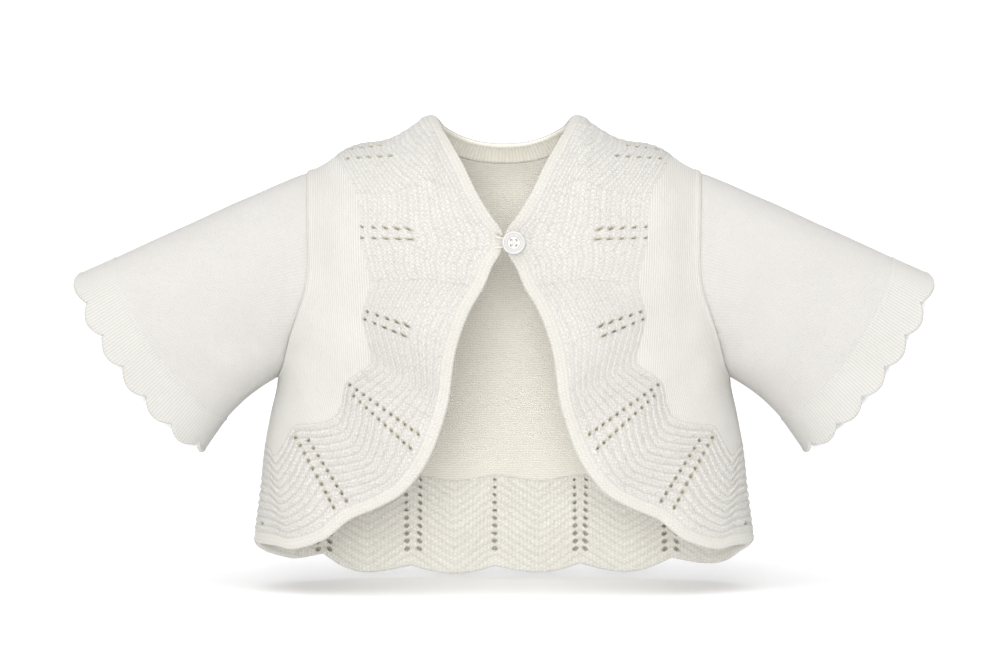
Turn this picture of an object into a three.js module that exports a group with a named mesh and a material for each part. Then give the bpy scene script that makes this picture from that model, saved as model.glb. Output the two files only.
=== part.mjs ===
import * as THREE from 'three';

// A baby's short knitted cardigan, open below one button, filled out as if it were worn.
// Millimetres. +X to the viewer's right, +Y to the back, +Z up. The origin lies between the two neck ends
// of the shoulder seams. The left pieces are made from tables of the front view, and the right ones mirror
// them.

// Cloth
const PLAIN = 1.8;
const LACE = 2.2;
const EDGING = 2.4;
const SEAM = 0.35;
const RING_SEAM = 0.6;
const RIDGE = 0.7;
const RIB = 0.5;
const ROLL = 0.6;

// Counts of what the knitter repeats
const RIDGES = 11;
const LOBES = 14;
const RIBS_IN_A_LOBE = 7;
const NECK_RIBS = 30;

// Body: the shoulder is a rounded fold, and below it the body is an oval that widens to the hem
const FOLD = { front: 40, back: 34 };
const SQUARENESS = 0.025;
const UNDERARM = -131;
const SIDE = Math.PI / 2;

const BODY = [
  { drop: 0, wide: 118, front: 40, back: 38 },
  { drop: 60, wide: 117, front: 47.5, back: 44 },
  { drop: 100, wide: 114.5, front: 50, back: 45 },
  { drop: 131, wide: 112.5, front: 50, back: 45 },
  { drop: 150, wide: 116.2, front: 50.5, back: 46 },
  { drop: 165, wide: 119, front: 51, back: 47 },
  { drop: 188, wide: 121.5, front: 52.5, back: 49.5 },
  { drop: 213, wide: 124.6, front: 54, back: 52 },
  { drop: 236, wide: 126.5, front: 55, back: 54 },
];

// Height of the shoulder fold, out from the middle
const SHOULDER = [
  { x: 0, z: -2.5 },
  { x: 29, z: -2.5 },
  { x: 33, z: -1.2 },
  { x: 36.5, z: 0 },
  { x: 40.5, z: -1.1 },
  { x: 44, z: -3.9 },
  { x: 48.5, z: -7 },
  { x: 55.5, z: -11 },
  { x: 63, z: -13.1 },
  { x: 70, z: -13.8 },
  { x: 76, z: -15.4 },
  { x: 80, z: -17.3 },
  { x: 84, z: -20 },
  { x: 90, z: -24.2 },
  { x: 98.5, z: -28.4 },
  { x: 118, z: -37 },
];

// Armhole seam, the same in front and behind
const ARMHOLE = [
  { z: -135, x: 113.6 },
  { z: -131, x: 112.5 },
  { z: -124, x: 109.8 },
  { z: -111.5, x: 107 },
  { z: -98.8, x: 102.8 },
  { z: -90, x: 99.8 },
  { z: -80, x: 98.1 },
  { z: -62, x: 98 },
  { z: -45, x: 98.2 },
  { z: -28.4, x: 98.5 },
];

// Lace border, from the shoulder to the side seam: the ends of each line across it, on the panel's seam and
// on the front edge. The knit peaks towards the panel at its eyelet lines and dips between them.
const BORDER = [
  { line: 'shoulder', seamX: 84, seamZ: -20, edgeX: 33, edgeZ: -1.2 },
  { line: 'between', seamX: 84, seamZ: -20.5, edgeX: 31.3, edgeZ: -4.8 },
  { line: 'eyelets', seamX: 83.6, seamZ: -21.6, edgeX: 26.2, edgeZ: -13.8 },
  { line: 'between', seamX: 79, seamZ: -29.8, edgeX: 19.4, edgeZ: -26 },
  { line: 'dip', seamX: 73.5, seamZ: -38.8, edgeX: 13.5, edgeZ: -38.5 },
  { line: 'between', seamX: 72, seamZ: -48.8, edgeX: 6.9, edgeZ: -49.5 },
  { line: 'eyelets', seamX: 71.5, seamZ: -60.2, edgeX: 0.5, edgeZ: -59 },
  { line: 'between', seamX: 70.5, seamZ: -67.2, edgeX: 0.8, edgeZ: -67.2 },
  { line: 'between', seamX: 68.5, seamZ: -75.2, edgeX: 5.8, edgeZ: -76.2 },
  { line: 'dip', seamX: 66.5, seamZ: -82.8, edgeX: 10, edgeZ: -86.2 },
  { line: 'between', seamX: 68.5, seamZ: -91.8, edgeX: 17, edgeZ: -98.3 },
  { line: 'eyelets', seamX: 70.5, seamZ: -100.2, edgeX: 23, edgeZ: -114.8 },
  { line: 'between', seamX: 68.2, seamZ: -112.2, edgeX: 25.5, edgeZ: -128.2 },
  { line: 'dip', seamX: 66, seamZ: -122.8, edgeX: 27.3, edgeZ: -142.2 },
  { line: 'between', seamX: 71.5, seamZ: -127.8, edgeX: 30.5, edgeZ: -154.2 },
  { line: 'eyelets', seamX: 79, seamZ: -133.8, edgeX: 36, edgeZ: -168.8 },
  { line: 'between', seamX: 81, seamZ: -143.2, edgeX: 43, edgeZ: -180.2 },
  { line: 'dip', seamX: 84.5, seamZ: -150.2, edgeX: 52, edgeZ: -189.5 },
  { line: 'between', seamX: 93.5, seamZ: -153.4, edgeX: 64.5, edgeZ: -196.2 },
  { line: 'eyelets', seamX: 104.5, seamZ: -154.8, edgeX: 77, edgeZ: -201.5 },
  { line: 'between', seamX: 109.5, seamZ: -162.8, edgeX: 90, edgeZ: -211.5 },
  { line: 'dip', seamX: 114, seamZ: -169.2, edgeX: 105.5, edgeZ: -216.2 },
  { line: 'between', seamX: 117, seamZ: -165.8, edgeX: 115.8, edgeZ: -214.4 },
  { line: 'side', seamX: 118.8, seamZ: -162.8, edgeX: 124.5, edgeZ: -213 },
];
const CHEVRON = 0.05;
const EDGING_WIDTH = 5.5;
const LEAST_SQUARE = 0.7;
const UNDERARM_LINE = 15;
const LAST_PANEL_LINE = 21;

// Lace band of the back hem, across the whole back: where each line meets the back's seam and the
// scalloped hem
const HEM = [
  { line: 'side', x: -124.5, seamZ: -181.5, hemZ: -213 },
  { line: 'between', x: -119.5, seamZ: -182.5, hemZ: -218.5 },
  { line: 'dip', x: -107, seamZ: -183, hemZ: -222 },
  { line: 'eyelets', x: -91.5, seamZ: -180.2, hemZ: -219.6 },
  { line: 'dip', x: -69, seamZ: -183, hemZ: -229.2 },
  { line: 'eyelets', x: -47, seamZ: -180.2, hemZ: -225.8 },
  { line: 'dip', x: -25, seamZ: -183, hemZ: -230 },
  { line: 'eyelets', x: -4.5, seamZ: -180.2, hemZ: -226.2 },
  { line: 'dip', x: 17.5, seamZ: -183, hemZ: -229.3 },
  { line: 'eyelets', x: 38.5, seamZ: -180.2, hemZ: -224.8 },
  { line: 'dip', x: 60.5, seamZ: -183, hemZ: -229 },
  { line: 'eyelets', x: 84.5, seamZ: -180.2, hemZ: -221.8 },
  { line: 'dip', x: 104, seamZ: -183, hemZ: -224.5 },
  { line: 'between', x: 118.5, seamZ: -182.5, hemZ: -218.5 },
  { line: 'side', x: 124.5, seamZ: -181.5, hemZ: -212 },
];
const HEM_CHEVRON = 0.1;

// Ribbed neck band, from the shoulder seam to the middle of the back: its free edge and its seam, each
// given by how far it lies from the middle and how far down the cloth from the fold
const NECK = [
  { topX: 33, topFall: 0, seamX: 42.5, seamFall: 0 },
  { topX: 31.8, topFall: 7, seamX: 41, seamFall: 10 },
  { topX: 29.5, topFall: 13, seamX: 37.5, seamFall: 19.5 },
  { topX: 26, topFall: 17.6, seamX: 32, seamFall: 27.5 },
  { topX: 20, topFall: 22.6, seamX: 25, seamFall: 33.8 },
  { topX: 11, topFall: 26.4, seamX: 14, seamFall: 38 },
  { topX: 0, topFall: 27.8, seamX: 0, seamFall: 39.3 },
];

// Sleeve and cuff rings, from the armhole to the scalloped edge: their top and bottom points in the front
// view, half their depth, and how far the middle of the ring bows towards the hand
const SLEEVE = [
  { topX: 98.5, topZ: -28.4, lowX: 112.5, lowZ: -131, deep: 0, bow: 0 },
  { topX: 117, topZ: -36, lowX: 117, lowZ: -132.8, deep: 29, bow: 2 },
  { topX: 137, topZ: -44.8, lowX: 121.5, lowZ: -135.5, deep: 28.5, bow: 4.5 },
  { topX: 157, topZ: -54, lowX: 127, lowZ: -139.8, deep: 27.5, bow: 7 },
  { topX: 176, topZ: -62.8, lowX: 132.5, lowZ: -144.8, deep: 26, bow: 9 },
  { topX: 193.5, topZ: -70.8, lowX: 138.2, lowZ: -150.8, deep: 25, bow: 10.5 },
  { topX: 211, topZ: -78.5, lowX: 148.2, lowZ: -165, deep: 26, bow: 10.5 },
];
const CUFF_RING = 5;
const EDGE_RING = 6;
const RING_STEPS = 2;
const BOW_FULLNESS = 1.4;
const LOBE_RISE = 3.4;
const FIRST_CUSP = 6.1;

// Button, its shank, and the thread loop that goes round the shank
const BUTTON = { x: 4.8, z: -64, radius: 5.85, thick: 2.5, round: 0.8, rim: 1.5, hollow: 0.9, sides: 32 };
const SHANK = { radius: 1.1, lift: 2.2 };
const LOOP = { thread: 0.45, root: -3, spread: 2.4, lift: 0.8 };
const LOOP_SIDES = 8;
const LOOP_STEPS = 24;

const cloth = { color: 0xefeee8, roughness: 0.9, metalness: 0 };
const plastic = { color: 0xf4f3f0, roughness: 0.3, metalness: 0 };

const mix = (a, b, t) => a + (b - a) * t;
const clamp = (value, low, high) => Math.min(Math.max(value, low), high);

/** A smooth curve between four values in a row, from the second to the third. */
function flow(a, b, c, d, t) {
  return b + 0.5 * t * (c - a + t * (2 * a - 5 * b + 4 * c - d + t * (3 * (b - c) + d - a)));
}

/** Reads a smooth curve through the column `name` of a table that is sorted by the column `key`. */
function read(table, key, at, name) {
  const last = table.length - 1;
  let i = 0;
  while (i < last - 1 && table[i + 1][key] < at) i += 1;
  const slope = (k) => {
    const before = table[Math.max(k - 1, 0)];
    const after = table[Math.min(k + 1, last)];
    return (after[name] - before[name]) / (after[key] - before[key]);
  };
  const span = table[i + 1][key] - table[i][key];
  const t = clamp((at - table[i][key]) / span, 0, 1);
  const bend = t * (1 - t) * span;
  return mix(table[i][name], table[i + 1][name], t * t * (3 - 2 * t))
    + bend * ((1 - t) * slope(i) - t * slope(i + 1));
}

/** Finds where a rising function reaches a value. */
function solve(rising, value, low, high) {
  let [from, to] = [low, high];
  for (let step = 0; step < 40; step += 1) {
    const middle = (from + to) / 2;
    if (rising(middle) < value) from = middle;
    else to = middle;
  }
  return (from + to) / 2;
}

// The body's form. A place on it is a turn round from the middle of the front or back, and a fall down the
// cloth from the shoulder fold.

const ovalWide = (turn) => (1 + SQUARENESS) * Math.sin(turn) + SQUARENESS * Math.sin(3 * turn);
const ovalDeep = (turn) => (1 + SQUARENESS) * Math.cos(turn) - SQUARENESS * Math.cos(3 * turn);

function dropOf(side, fall) {
  const fold = FOLD[side];
  return fall < fold * SIDE ? fold * (1 - Math.cos(fall / fold)) : fall - fold * (SIDE - 1);
}

function fallOf(side, drop) {
  const fold = FOLD[side];
  return drop < fold ? fold * Math.acos(1 - drop / fold) : drop + fold * (SIDE - 1);
}

/** Height in the front view: the shoulder's slope fades out by the underarm. */
function heightOf(x, drop) {
  const t = clamp(drop / -UNDERARM, 0, 1);
  return read(SHOULDER, 'x', Math.abs(x), 'z') * (1 - t * t * (3 - 2 * t)) - drop;
}

function bodyPoint(side, turn, fall) {
  const drop = dropOf(side, fall);
  const reach = fall < FOLD[side] * SIDE ? Math.sin(fall / FOLD[side]) : 1;
  const x = read(BODY, 'drop', drop, 'wide') * ovalWide(turn);
  const y = read(BODY, 'drop', drop, side) * ovalDeep(turn) * reach;
  return new THREE.Vector3(x, side === 'front' ? -y : y, heightOf(x, drop));
}

/** The body's point and outward normal. */
function onBody(side, { turn, fall }) {
  const nudge = 1e-3;
  const point = bodyPoint(side, turn, fall);
  const across = bodyPoint(side, turn + nudge, fall).sub(bodyPoint(side, turn - nudge, fall));
  const down = bodyPoint(side, turn, fall + nudge).sub(bodyPoint(side, turn, fall - nudge));
  const normal = side === 'front' ? down.cross(across) : across.cross(down);
  return { point, normal: normal.normalize() };
}

/** The place on the body that the front view shows at x, z. */
function placeAt(side, x, z) {
  const drop = solve((value) => -heightOf(x, value), -z, 0, 240);
  const share = clamp(Math.abs(x) / read(BODY, 'drop', drop, 'wide'), 0, 1);
  const turn = solve(ovalWide, share, 0, SIDE);
  return { turn: Math.sign(x) * turn, fall: drop < 1e-3 ? 0 : fallOf(side, drop) };
}

const mixPlace = (a, b, t) => ({ turn: mix(a.turn, b.turn, t), fall: mix(a.fall, b.fall, t) });

/** A smooth path through places, read at a number of lines along it. */
function pathAt(places, line) {
  const i = clamp(Math.floor(line), 0, places.length - 2);
  const near = (k) => places[clamp(k, 0, places.length - 1)];
  const through = (name) => {
    const [a, b, c, d] = [i - 1, i, i + 1, i + 2].map((k) => near(k)[name]);
    return flow(a, b, c, d, line - i);
  };
  return { turn: through('turn'), fall: Math.max(through('fall'), 0) };
}

/** A closed solid from points and triangles, turned to face outwards. */
function solid(points, faces) {
  const volume = faces.reduce((sum, [a, b, c]) => {
    const cross = new THREE.Vector3().crossVectors(points[b], points[c]);
    return sum + points[a].dot(cross);
  }, 0);
  const outward = volume > 0 ? faces : faces.map(([a, b, c]) => [a, c, b]);
  const geometry = new THREE.BufferGeometry().setFromPoints(points);
  geometry.setIndex(outward.flat());
  geometry.computeVertexNormals();
  return geometry;
}

/**
 * A cloth wall on a grid of points with normals. The inner side is plain: it skips raised points, and keeps
 * every rowStep-th row and columnStep-th column. A round wall closes on itself along its rows. Its open
 * sides are drawn in by half a seam's gap, and its first row by firstGap.
 */
function wall({
  rows, columns, at, thick, raise = () => 0, rowStep = 1, columnStep = 1, round = false,
  firstGap = SEAM / 2,
}) {
  const wide = round ? columns : columns + 1;
  const base = [];
  for (let i = 0; i <= rows; i += 1) {
    base.push([]);
    for (let j = 0; j < wide; j += 1) base[i].push(at(i, j));
  }
  const placed = base.map((row, i) => row.map((spot, j) => pulledIn(base, i, j, round, firstGap)));
  const points = [];
  const add = (i, j, out) => points.push(placed[i][j].clone().addScaledVector(base[i][j].normal, out)) - 1;
  const outer = base.map((row, i) => row.map((spot, j) => add(i, j, raise(i, j))));
  const inner = [];
  for (let i = 0; i <= rows; i += rowStep) {
    const row = [];
    for (let j = 0; j < wide; j += columnStep) row.push(add(i, j, -thick));
    inner.push(row);
  }
  const faces = [];
  const cover = (grid, flip) => {
    const last = round ? grid[0].length : grid[0].length - 1;
    for (let i = 0; i + 1 < grid.length; i += 1) {
      for (let j = 0; j < last; j += 1) {
        const next = (j + 1) % grid[0].length;
        const [a, b, c, d] = [grid[i][j], grid[i + 1][j], grid[i + 1][next], grid[i][next]];
        faces.push(flip ? [a, c, b] : [a, b, c], flip ? [a, d, c] : [a, c, d]);
      }
    }
  };
  const rim = (long, short) => {
    const step = (long.length - 1) / (short.length - 1);
    for (let k = 0; k + 1 < short.length; k += 1) {
      for (let s = 0; s < step; s += 1) faces.push([short[k], long[k * step + s], long[k * step + s + 1]]);
      faces.push([short[k], long[(k + 1) * step], short[k + 1]]);
    }
  };
  const closed = (line) => (round ? [...line, line[0]] : line);
  cover(outer, false);
  cover(inner, true);
  rim(closed(outer[0]), closed(inner[0]));
  rim(closed(outer.at(-1)).toReversed(), closed(inner.at(-1)).toReversed());
  if (!round) {
    rim(outer.map((row) => row[0]).toReversed(), inner.map((row) => row[0]).toReversed());
    rim(outer.map((row) => row.at(-1)), inner.map((row) => row.at(-1)));
  }
  return solid(points, faces);
}

/** A point of a wall's grid, with the grid's open sides drawn in. */
function pulledIn(base, i, j, round, firstGap) {
  const point = base[i][j].point.clone();
  const spot = (a, b) => base[clamp(a, 0, base.length - 1)][clamp(b, 0, base[0].length - 1)].point;
  const pull = (inward, before, after, gap = SEAM / 2) => {
    const along = after.clone().sub(before).normalize();
    const across = inward.clone().sub(base[i][j].point);
    across.addScaledVector(along, -across.dot(along)).normalize();
    point.addScaledVector(across, gap);
  };
  if (i === 0) pull(spot(1, j), spot(0, j - 1), spot(0, j + 1), firstGap);
  if (i === base.length - 1) pull(spot(i - 1, j), spot(i, j - 1), spot(i, j + 1));
  if (!round && j === 0) pull(spot(i, 1), spot(i - 1, 0), spot(i + 1, 0));
  if (!round && j === base[0].length - 1) pull(spot(i, j - 1), spot(i - 1, j), spot(i + 1, j));
  return point;
}

// Front pieces, made for the left side

const seamPlaces = BORDER.map(({ line, seamX, seamZ }) => frontPlace(line, seamX, seamZ));
const edgePlaces = BORDER.map(({ line, edgeX, edgeZ }) => frontPlace(line, edgeX, edgeZ));

function frontPlace(line, x, z) {
  const place = placeAt('front', -x, z);
  if (line === 'side') place.turn = -SIDE;
  if (line === 'shoulder') place.fall = 0;
  return place;
}

/** How near a line of the lace is to an eyelet line, from 1 there to -1 at a dip. */
function peakAt(table, line) {
  const near = (k) => {
    const name = table[clamp(k, 0, table.length - 1)].line;
    return { eyelets: 1, dip: -1 }[name] ?? 0;
  };
  return mix(near(Math.floor(line)), near(Math.floor(line) + 1), line - Math.floor(line));
}

/** A place on a line across the front, from the panel's seam to the front edge. */
const acrossFront = (line, share) => mixPlace(pathAt(seamPlaces, line), pathAt(edgePlaces, line), share);

/** Where the edging's seam lies on a line across the border, as a share of that line. */
function edgingShare(line) {
  const point = (share) => onBody('front', acrossFront(line, share)).point;
  const edge = (at) => onBody('front', pathAt(edgePlaces, clamp(at, 0, BORDER.length - 1))).point;
  const along = edge(line + 0.2).sub(edge(line - 0.2)).normalize();
  const across = point(0).sub(point(1));
  const square = clamp(across.clone().normalize().cross(along).length(), LEAST_SQUARE, 1);
  return 1 - EDGING_WIDTH / square / across.length();
}

const LINE_STEPS = 2;
const EDGING_COLUMNS = 4;
const PANEL_COLUMNS = 4;
const borderRows = (BORDER.length - 1) * LINE_STEPS;
const borderLine = (row) => row / LINE_STEPS;

function border() {
  const columns = RIDGES * 2;
  const at = (i, j) => {
    const line = borderLine(i);
    const share = j / columns;
    const chevron = share - CHEVRON * peakAt(BORDER, line) * 4 * share * (1 - share);
    return onBody('front', acrossFront(line, chevron * edgingShare(line)));
  };
  const raise = (i, j) => (j % 2 ? RIDGE : 0);
  return wall({ rows: borderRows, columns, at, thick: LACE, raise, columnStep: RIDGES });
}

function edging() {
  const columns = EDGING_COLUMNS;
  const at = (i, j) => {
    const line = borderLine(i);
    return onBody('front', acrossFront(line, mix(edgingShare(line), 1, j / columns)));
  };
  const raise = (i, j) => ROLL * Math.sin((Math.PI * j) / columns);
  return wall({ rows: borderRows, columns, at, thick: EDGING, raise, columnStep: columns });
}

/** The panel's outer side at a line of the border: the armhole, and below the underarm the side seam. */
function outerPlace(line) {
  if (line <= UNDERARM_LINE) return armholePlace('front', line / UNDERARM_LINE);
  const t = (line - UNDERARM_LINE) / (LAST_PANEL_LINE - UNDERARM_LINE);
  return { turn: -SIDE, fall: placeAt('front', -1, mix(UNDERARM, BORDER.at(-1).seamZ, t)).fall };
}

/** A place on the armhole at a share of the way down it, with short steps at its two round ends. */
function armholePlace(side, share) {
  const z = mix(ARMHOLE.at(-1).z, UNDERARM, (1 - Math.cos(Math.PI * share)) / 2);
  const place = placeAt(side, -read(ARMHOLE, 'z', z, 'x'), z);
  if (share === 0) place.fall = 0;
  if (share === 1) place.turn = -SIDE;
  return place;
}

function frontPanel() {
  const columns = PANEL_COLUMNS;
  const rows = LAST_PANEL_LINE * LINE_STEPS;
  const at = (i, j) => {
    const line = borderLine(i);
    if (i === rows) return onBody('front', pathAt(seamPlaces, mix(BORDER.length - 1, line, j / columns)));
    return onBody('front', mixPlace(outerPlace(line), pathAt(seamPlaces, line), j / columns));
  };
  return wall({ rows, columns, at, thick: PLAIN });
}

// Back pieces

const HEM_STEPS = 2;
const hemColumns = (HEM.length - 1) * HEM_STEPS;
const hemSeamPlaces = HEM.map(({ line, x, seamZ }) => hemPlace(line, x, seamZ));
const hemEdgePlaces = HEM.map(({ line, x, hemZ }) => hemPlace(line, x, hemZ));

function hemPlace(line, x, z) {
  const place = placeAt('back', x, z);
  if (line === 'side') place.turn = Math.sign(x) * SIDE;
  return place;
}

/** A place on the scalloped hem: each lobe leaves its cusp steeply and rounds into its lowest point. */
function hemAt(places, column) {
  const line = column / HEM_STEPS;
  const i = Math.min(Math.floor(line), HEM.length - 2);
  const t = line - i;
  const eased = { eyelets: Math.sin(t * SIDE), dip: 1 - Math.cos(t * SIDE) }[HEM[i].line] ?? t;
  const across = mixPlace(places[i], places[i + 1], t);
  return { turn: across.turn, fall: mix(places[i].fall, places[i + 1].fall, eased) };
}

const hemSeamAt = (column) => pathAt(hemSeamPlaces, column / HEM_STEPS);

function hemBand() {
  const rows = RIDGES * 2;
  const at = (i, j) => {
    const share = i / rows;
    const chevron = share - HEM_CHEVRON * peakAt(HEM, j / HEM_STEPS) * 4 * share * (1 - share);
    return onBody('back', mixPlace(hemSeamAt(j), hemAt(hemEdgePlaces, j), chevron));
  };
  const raise = (i) => (i % 2 ? RIDGE : 0);
  const plain = { rowStep: RIDGES, columnStep: HEM_STEPS };
  return wall({ rows, columns: hemColumns, at, thick: LACE, raise, ...plain });
}

const neckPlaces = (x, fall) => [...NECK, ...NECK.slice(0, -1).toReversed()].map((row, i) => {
  const hand = i < NECK.length - 1 ? -1 : 1;
  const share = row[x] / read(BODY, 'drop', dropOf('back', row[fall]), 'wide');
  return { turn: hand * solve(ovalWide, share, 0, SIDE), fall: row[fall] };
});
const neckTop = neckPlaces('topX', 'topFall');
const neckSeam = neckPlaces('seamX', 'seamFall');
const neckLines = neckTop.length - 1;
const BACK_NECK_COLUMNS = 20;

function neckBand() {
  const columns = NECK_RIBS * 2;
  const columnStep = (columns / BACK_NECK_COLUMNS) * HEM_STEPS;
  const at = (i, j) => {
    const line = (j / columns) * neckLines;
    return onBody('back', mixPlace(pathAt(neckTop, line), pathAt(neckSeam, line), i / 2));
  };
  const raise = (i, j) => (j % 2 ? RIB : 0);
  return wall({ rows: 2, columns, at, thick: PLAIN, raise, columnStep });
}

const BACK_ROWS = { belowArm: 4, beside: 15 };

/** The back's top edge: along one shoulder, under the neck band, and along the other shoulder. */
function backTop(column) {
  const shoulder = (hemColumns - BACK_NECK_COLUMNS) / 2;
  const outer = armholePlace('back', 0).turn;
  const neck = neckSeam[0].turn;
  const fromLeft = Math.min(column, hemColumns - column);
  if (fromLeft > shoulder) return pathAt(neckSeam, ((column - shoulder) / BACK_NECK_COLUMNS) * neckLines);
  const turn = mix(outer, neck, fromLeft / shoulder);
  return { turn: column > shoulder ? -turn : turn, fall: 0 };
}

function backSide(row) {
  const { belowArm, beside } = BACK_ROWS;
  if (row <= belowArm) {
    const z = mix(HEM[0].seamZ, UNDERARM, row / belowArm);
    return { turn: -SIDE, fall: placeAt('back', -1, z).fall };
  }
  return armholePlace('back', (beside + belowArm - row) / beside);
}

/** The back's rows run evenly up its middle, and meet the points of the armholes at its sides. */
function backPanel() {
  const rows = BACK_ROWS.belowArm + BACK_ROWS.beside;
  const blend = (i, j, name) => {
    const [u, v] = [j / hemColumns, i / rows];
    const toSide = 1 - 2 * u;
    const [low, top, left] = [hemSeamAt(j)[name], backTop(j)[name], backSide(i)[name]];
    const even = mix(backSide(0)[name], backSide(rows)[name], v);
    return mix(low, top, v) + (left - even) * (name === 'turn' ? toSide : toSide ** 2);
  };
  const at = (i, j) => {
    const place = { turn: blend(i, j, 'turn'), fall: Math.max(blend(i, j, 'fall'), 0) };
    return onBody('back', place);
  };
  return wall({ rows, columns: hemColumns, at, thick: PLAIN, columnStep: HEM_STEPS });
}

// Sleeves and cuffs, made for the left side

/** Shares an oval ring out evenly by length: the angle from its top at a share of the way round. */
function evenAngle(tall, deep, share) {
  const steps = 180;
  const point = (k) => {
    const angle = (k / steps) * 2 * Math.PI;
    return [tall * ovalDeep(angle), deep * ovalWide(angle)];
  };
  const lengths = [0];
  for (let k = 1; k <= steps; k += 1) {
    const [a, b] = [point(k - 1), point(k)];
    lengths.push(lengths[k - 1] + Math.hypot(b[0] - a[0], b[1] - a[1]));
  }
  const length = share * lengths[steps];
  let k = 1;
  while (k < steps && lengths[k] < length) k += 1;
  const t = (length - lengths[k - 1]) / (lengths[k] - lengths[k - 1]);
  return { angle: ((k - 1 + t) / steps) * 2 * Math.PI, round: lengths[steps] };
}

function armholePoint(share) {
  const side = share <= 0.5 ? 'front' : 'back';
  const down = share <= 0.5 ? share * 2 : (1 - share) * 2;
  return onBody(side, armholePlace(side, down)).point;
}

function ringPoint(ring, share) {
  const { topX, topZ, lowX, lowZ, deep, bow } = SLEEVE[ring];
  if (ring === 0) return armholePoint(share);
  const top = new THREE.Vector3(-topX, 0, topZ);
  const low = new THREE.Vector3(-lowX, 0, lowZ);
  const half = top.clone().sub(low).multiplyScalar(0.5);
  const outward = new THREE.Vector3(half.z, 0, -half.x).normalize();
  if (outward.x > 0) outward.negate();
  const { angle } = evenAngle(half.length(), deep, share);
  const point = top.clone().add(low).multiplyScalar(0.5).addScaledVector(half, ovalDeep(angle));
  point.addScaledVector(outward, bow * Math.abs(Math.sin(angle)) ** BOW_FULLNESS);
  point.y = -deep * ovalWide(angle);
  return point;
}

/** A point of the sleeve's form at a number of rings out from the armhole. */
function sleevePoint(ring, share) {
  const i = clamp(Math.floor(ring), 0, EDGE_RING - 1);
  const [a, b, c, d] = [i - 1, i, i + 1, i + 2].map((k) => ringPoint(clamp(k, 0, EDGE_RING), share));
  const t = ring - i;
  const [x, y, z] = ['x', 'y', 'z'].map((axis) => flow(a[axis], b[axis], c[axis], d[axis], t));
  return new THREE.Vector3(x, y, z);
}

function onSleeve(ring, share) {
  const nudge = 2e-3;
  const point = sleevePoint(ring, share);
  const wrap = (value) => (value + 1) % 1;
  const around = sleevePoint(ring, wrap(share + nudge)).sub(sleevePoint(ring, wrap(share - nudge)));
  const nearer = sleevePoint(Math.max(ring - nudge, 0), share);
  const out = sleevePoint(Math.min(ring + nudge, EDGE_RING), share).sub(nearer);
  return { point, normal: out.cross(around).normalize() };
}

function sleeve() {
  const rows = CUFF_RING * RING_STEPS;
  const columns = UNDERARM_LINE * LINE_STEPS;
  const at = (i, j) => onSleeve(i / RING_STEPS, j / columns);
  const plain = { rowStep: RING_STEPS, columnStep: LINE_STEPS };
  return wall({ rows, columns, at, thick: PLAIN, ...plain, round: true, firstGap: RING_SEAM });
}

function cuff() {
  const columns = LOBES * RIBS_IN_A_LOBE * 2;
  const rows = 2;
  const { topX, topZ, lowX, lowZ, deep } = SLEEVE[EDGE_RING];
  const { round: girth } = evenAngle(Math.hypot(topX - lowX, topZ - lowZ) / 2, deep, 1);
  const lobeAt = (share) => Math.abs(Math.sin(Math.PI * LOBES * (share - FIRST_CUSP / girth)));
  const at = (i, j) => {
    const share = j / columns;
    const spot = onSleeve(mix(CUFF_RING, EDGE_RING, i / rows), share);
    const out = sleevePoint(EDGE_RING, share).sub(sleevePoint(CUFF_RING, share)).normalize();
    spot.point.addScaledVector(out, (i / rows) * LOBE_RISE * lobeAt(share));
    return spot;
  };
  const raise = (i, j) => (j % 2 ? RIB : 0);
  const plain = { columnStep: RIBS_IN_A_LOBE };
  return wall({ rows, columns, at, thick: PLAIN, raise, ...plain, round: true, firstGap: RING_SEAM });
}

// Button and loop

const buttonSeat = onBody('front', placeAt('front', BUTTON.x, BUTTON.z)).point;
const clothFace = buttonSeat.y - ROLL;

function button() {
  const { radius, thick, round, rim, hollow, sides } = BUTTON;
  const { radius: shank, lift } = SHANK;
  const face = lift + thick;
  const profile = [
    { r: 0, y: SEAM },
    { r: shank, y: SEAM },
    { r: shank, y: lift },
    { r: radius - round, y: lift },
    { r: radius, y: lift + round },
    { r: radius, y: face - round },
    { r: radius - rim / 3, y: face },
    { r: radius - rim, y: face },
    { r: radius - rim - round, y: face - hollow },
    { r: 0, y: face - hollow },
  ];
  const geometry = new THREE.LatheGeometry(profile.map(({ r, y }) => new THREE.Vector2(r, y)), sides);
  return geometry.rotateX(Math.PI);
}

function buttonLoop() {
  const { thread, root, spread, lift } = LOOP;
  const y = clothFace - SEAM - lift;
  const turn = SHANK.radius + SEAM + thread;
  const half = [
    { x: root, rise: spread },
    { x: mix(root, BUTTON.x, 0.5), rise: mix(spread, turn, 0.6) },
    { x: BUTTON.x, rise: turn },
  ];
  const path = new THREE.CatmullRomCurve3([
    ...half.map(({ x, rise }) => new THREE.Vector3(x, y, BUTTON.z + rise)),
    new THREE.Vector3(BUTTON.x + turn, y, BUTTON.z),
    ...half.toReversed().map(({ x, rise }) => new THREE.Vector3(x, y, BUTTON.z - rise)),
  ]);
  const outline = new THREE.EllipseCurve(0, 0, thread, thread).getPoints(LOOP_SIDES).slice(0, -1);
  const section = new THREE.Shape(outline);
  return new THREE.ExtrudeGeometry(section, { steps: LOOP_STEPS, extrudePath: path, bevelEnabled: false });
}

/** The same piece on the other side of the body. */
function mirrored(geometry) {
  const copy = geometry.clone().scale(-1, 1, 1);
  const order = [...copy.getIndex().array];
  for (let k = 0; k < order.length; k += 3) [order[k + 1], order[k + 2]] = [order[k + 2], order[k + 1]];
  copy.setIndex(order);
  copy.computeVertexNormals();
  return copy;
}

const cardigan = new THREE.Group();

function add(name, geometry, look = cloth, place = new THREE.Vector3()) {
  const mesh = new THREE.Mesh(geometry, new THREE.MeshStandardMaterial(look));
  mesh.name = name;
  mesh.position.copy(place);
  cardigan.add(mesh);
}

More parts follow.
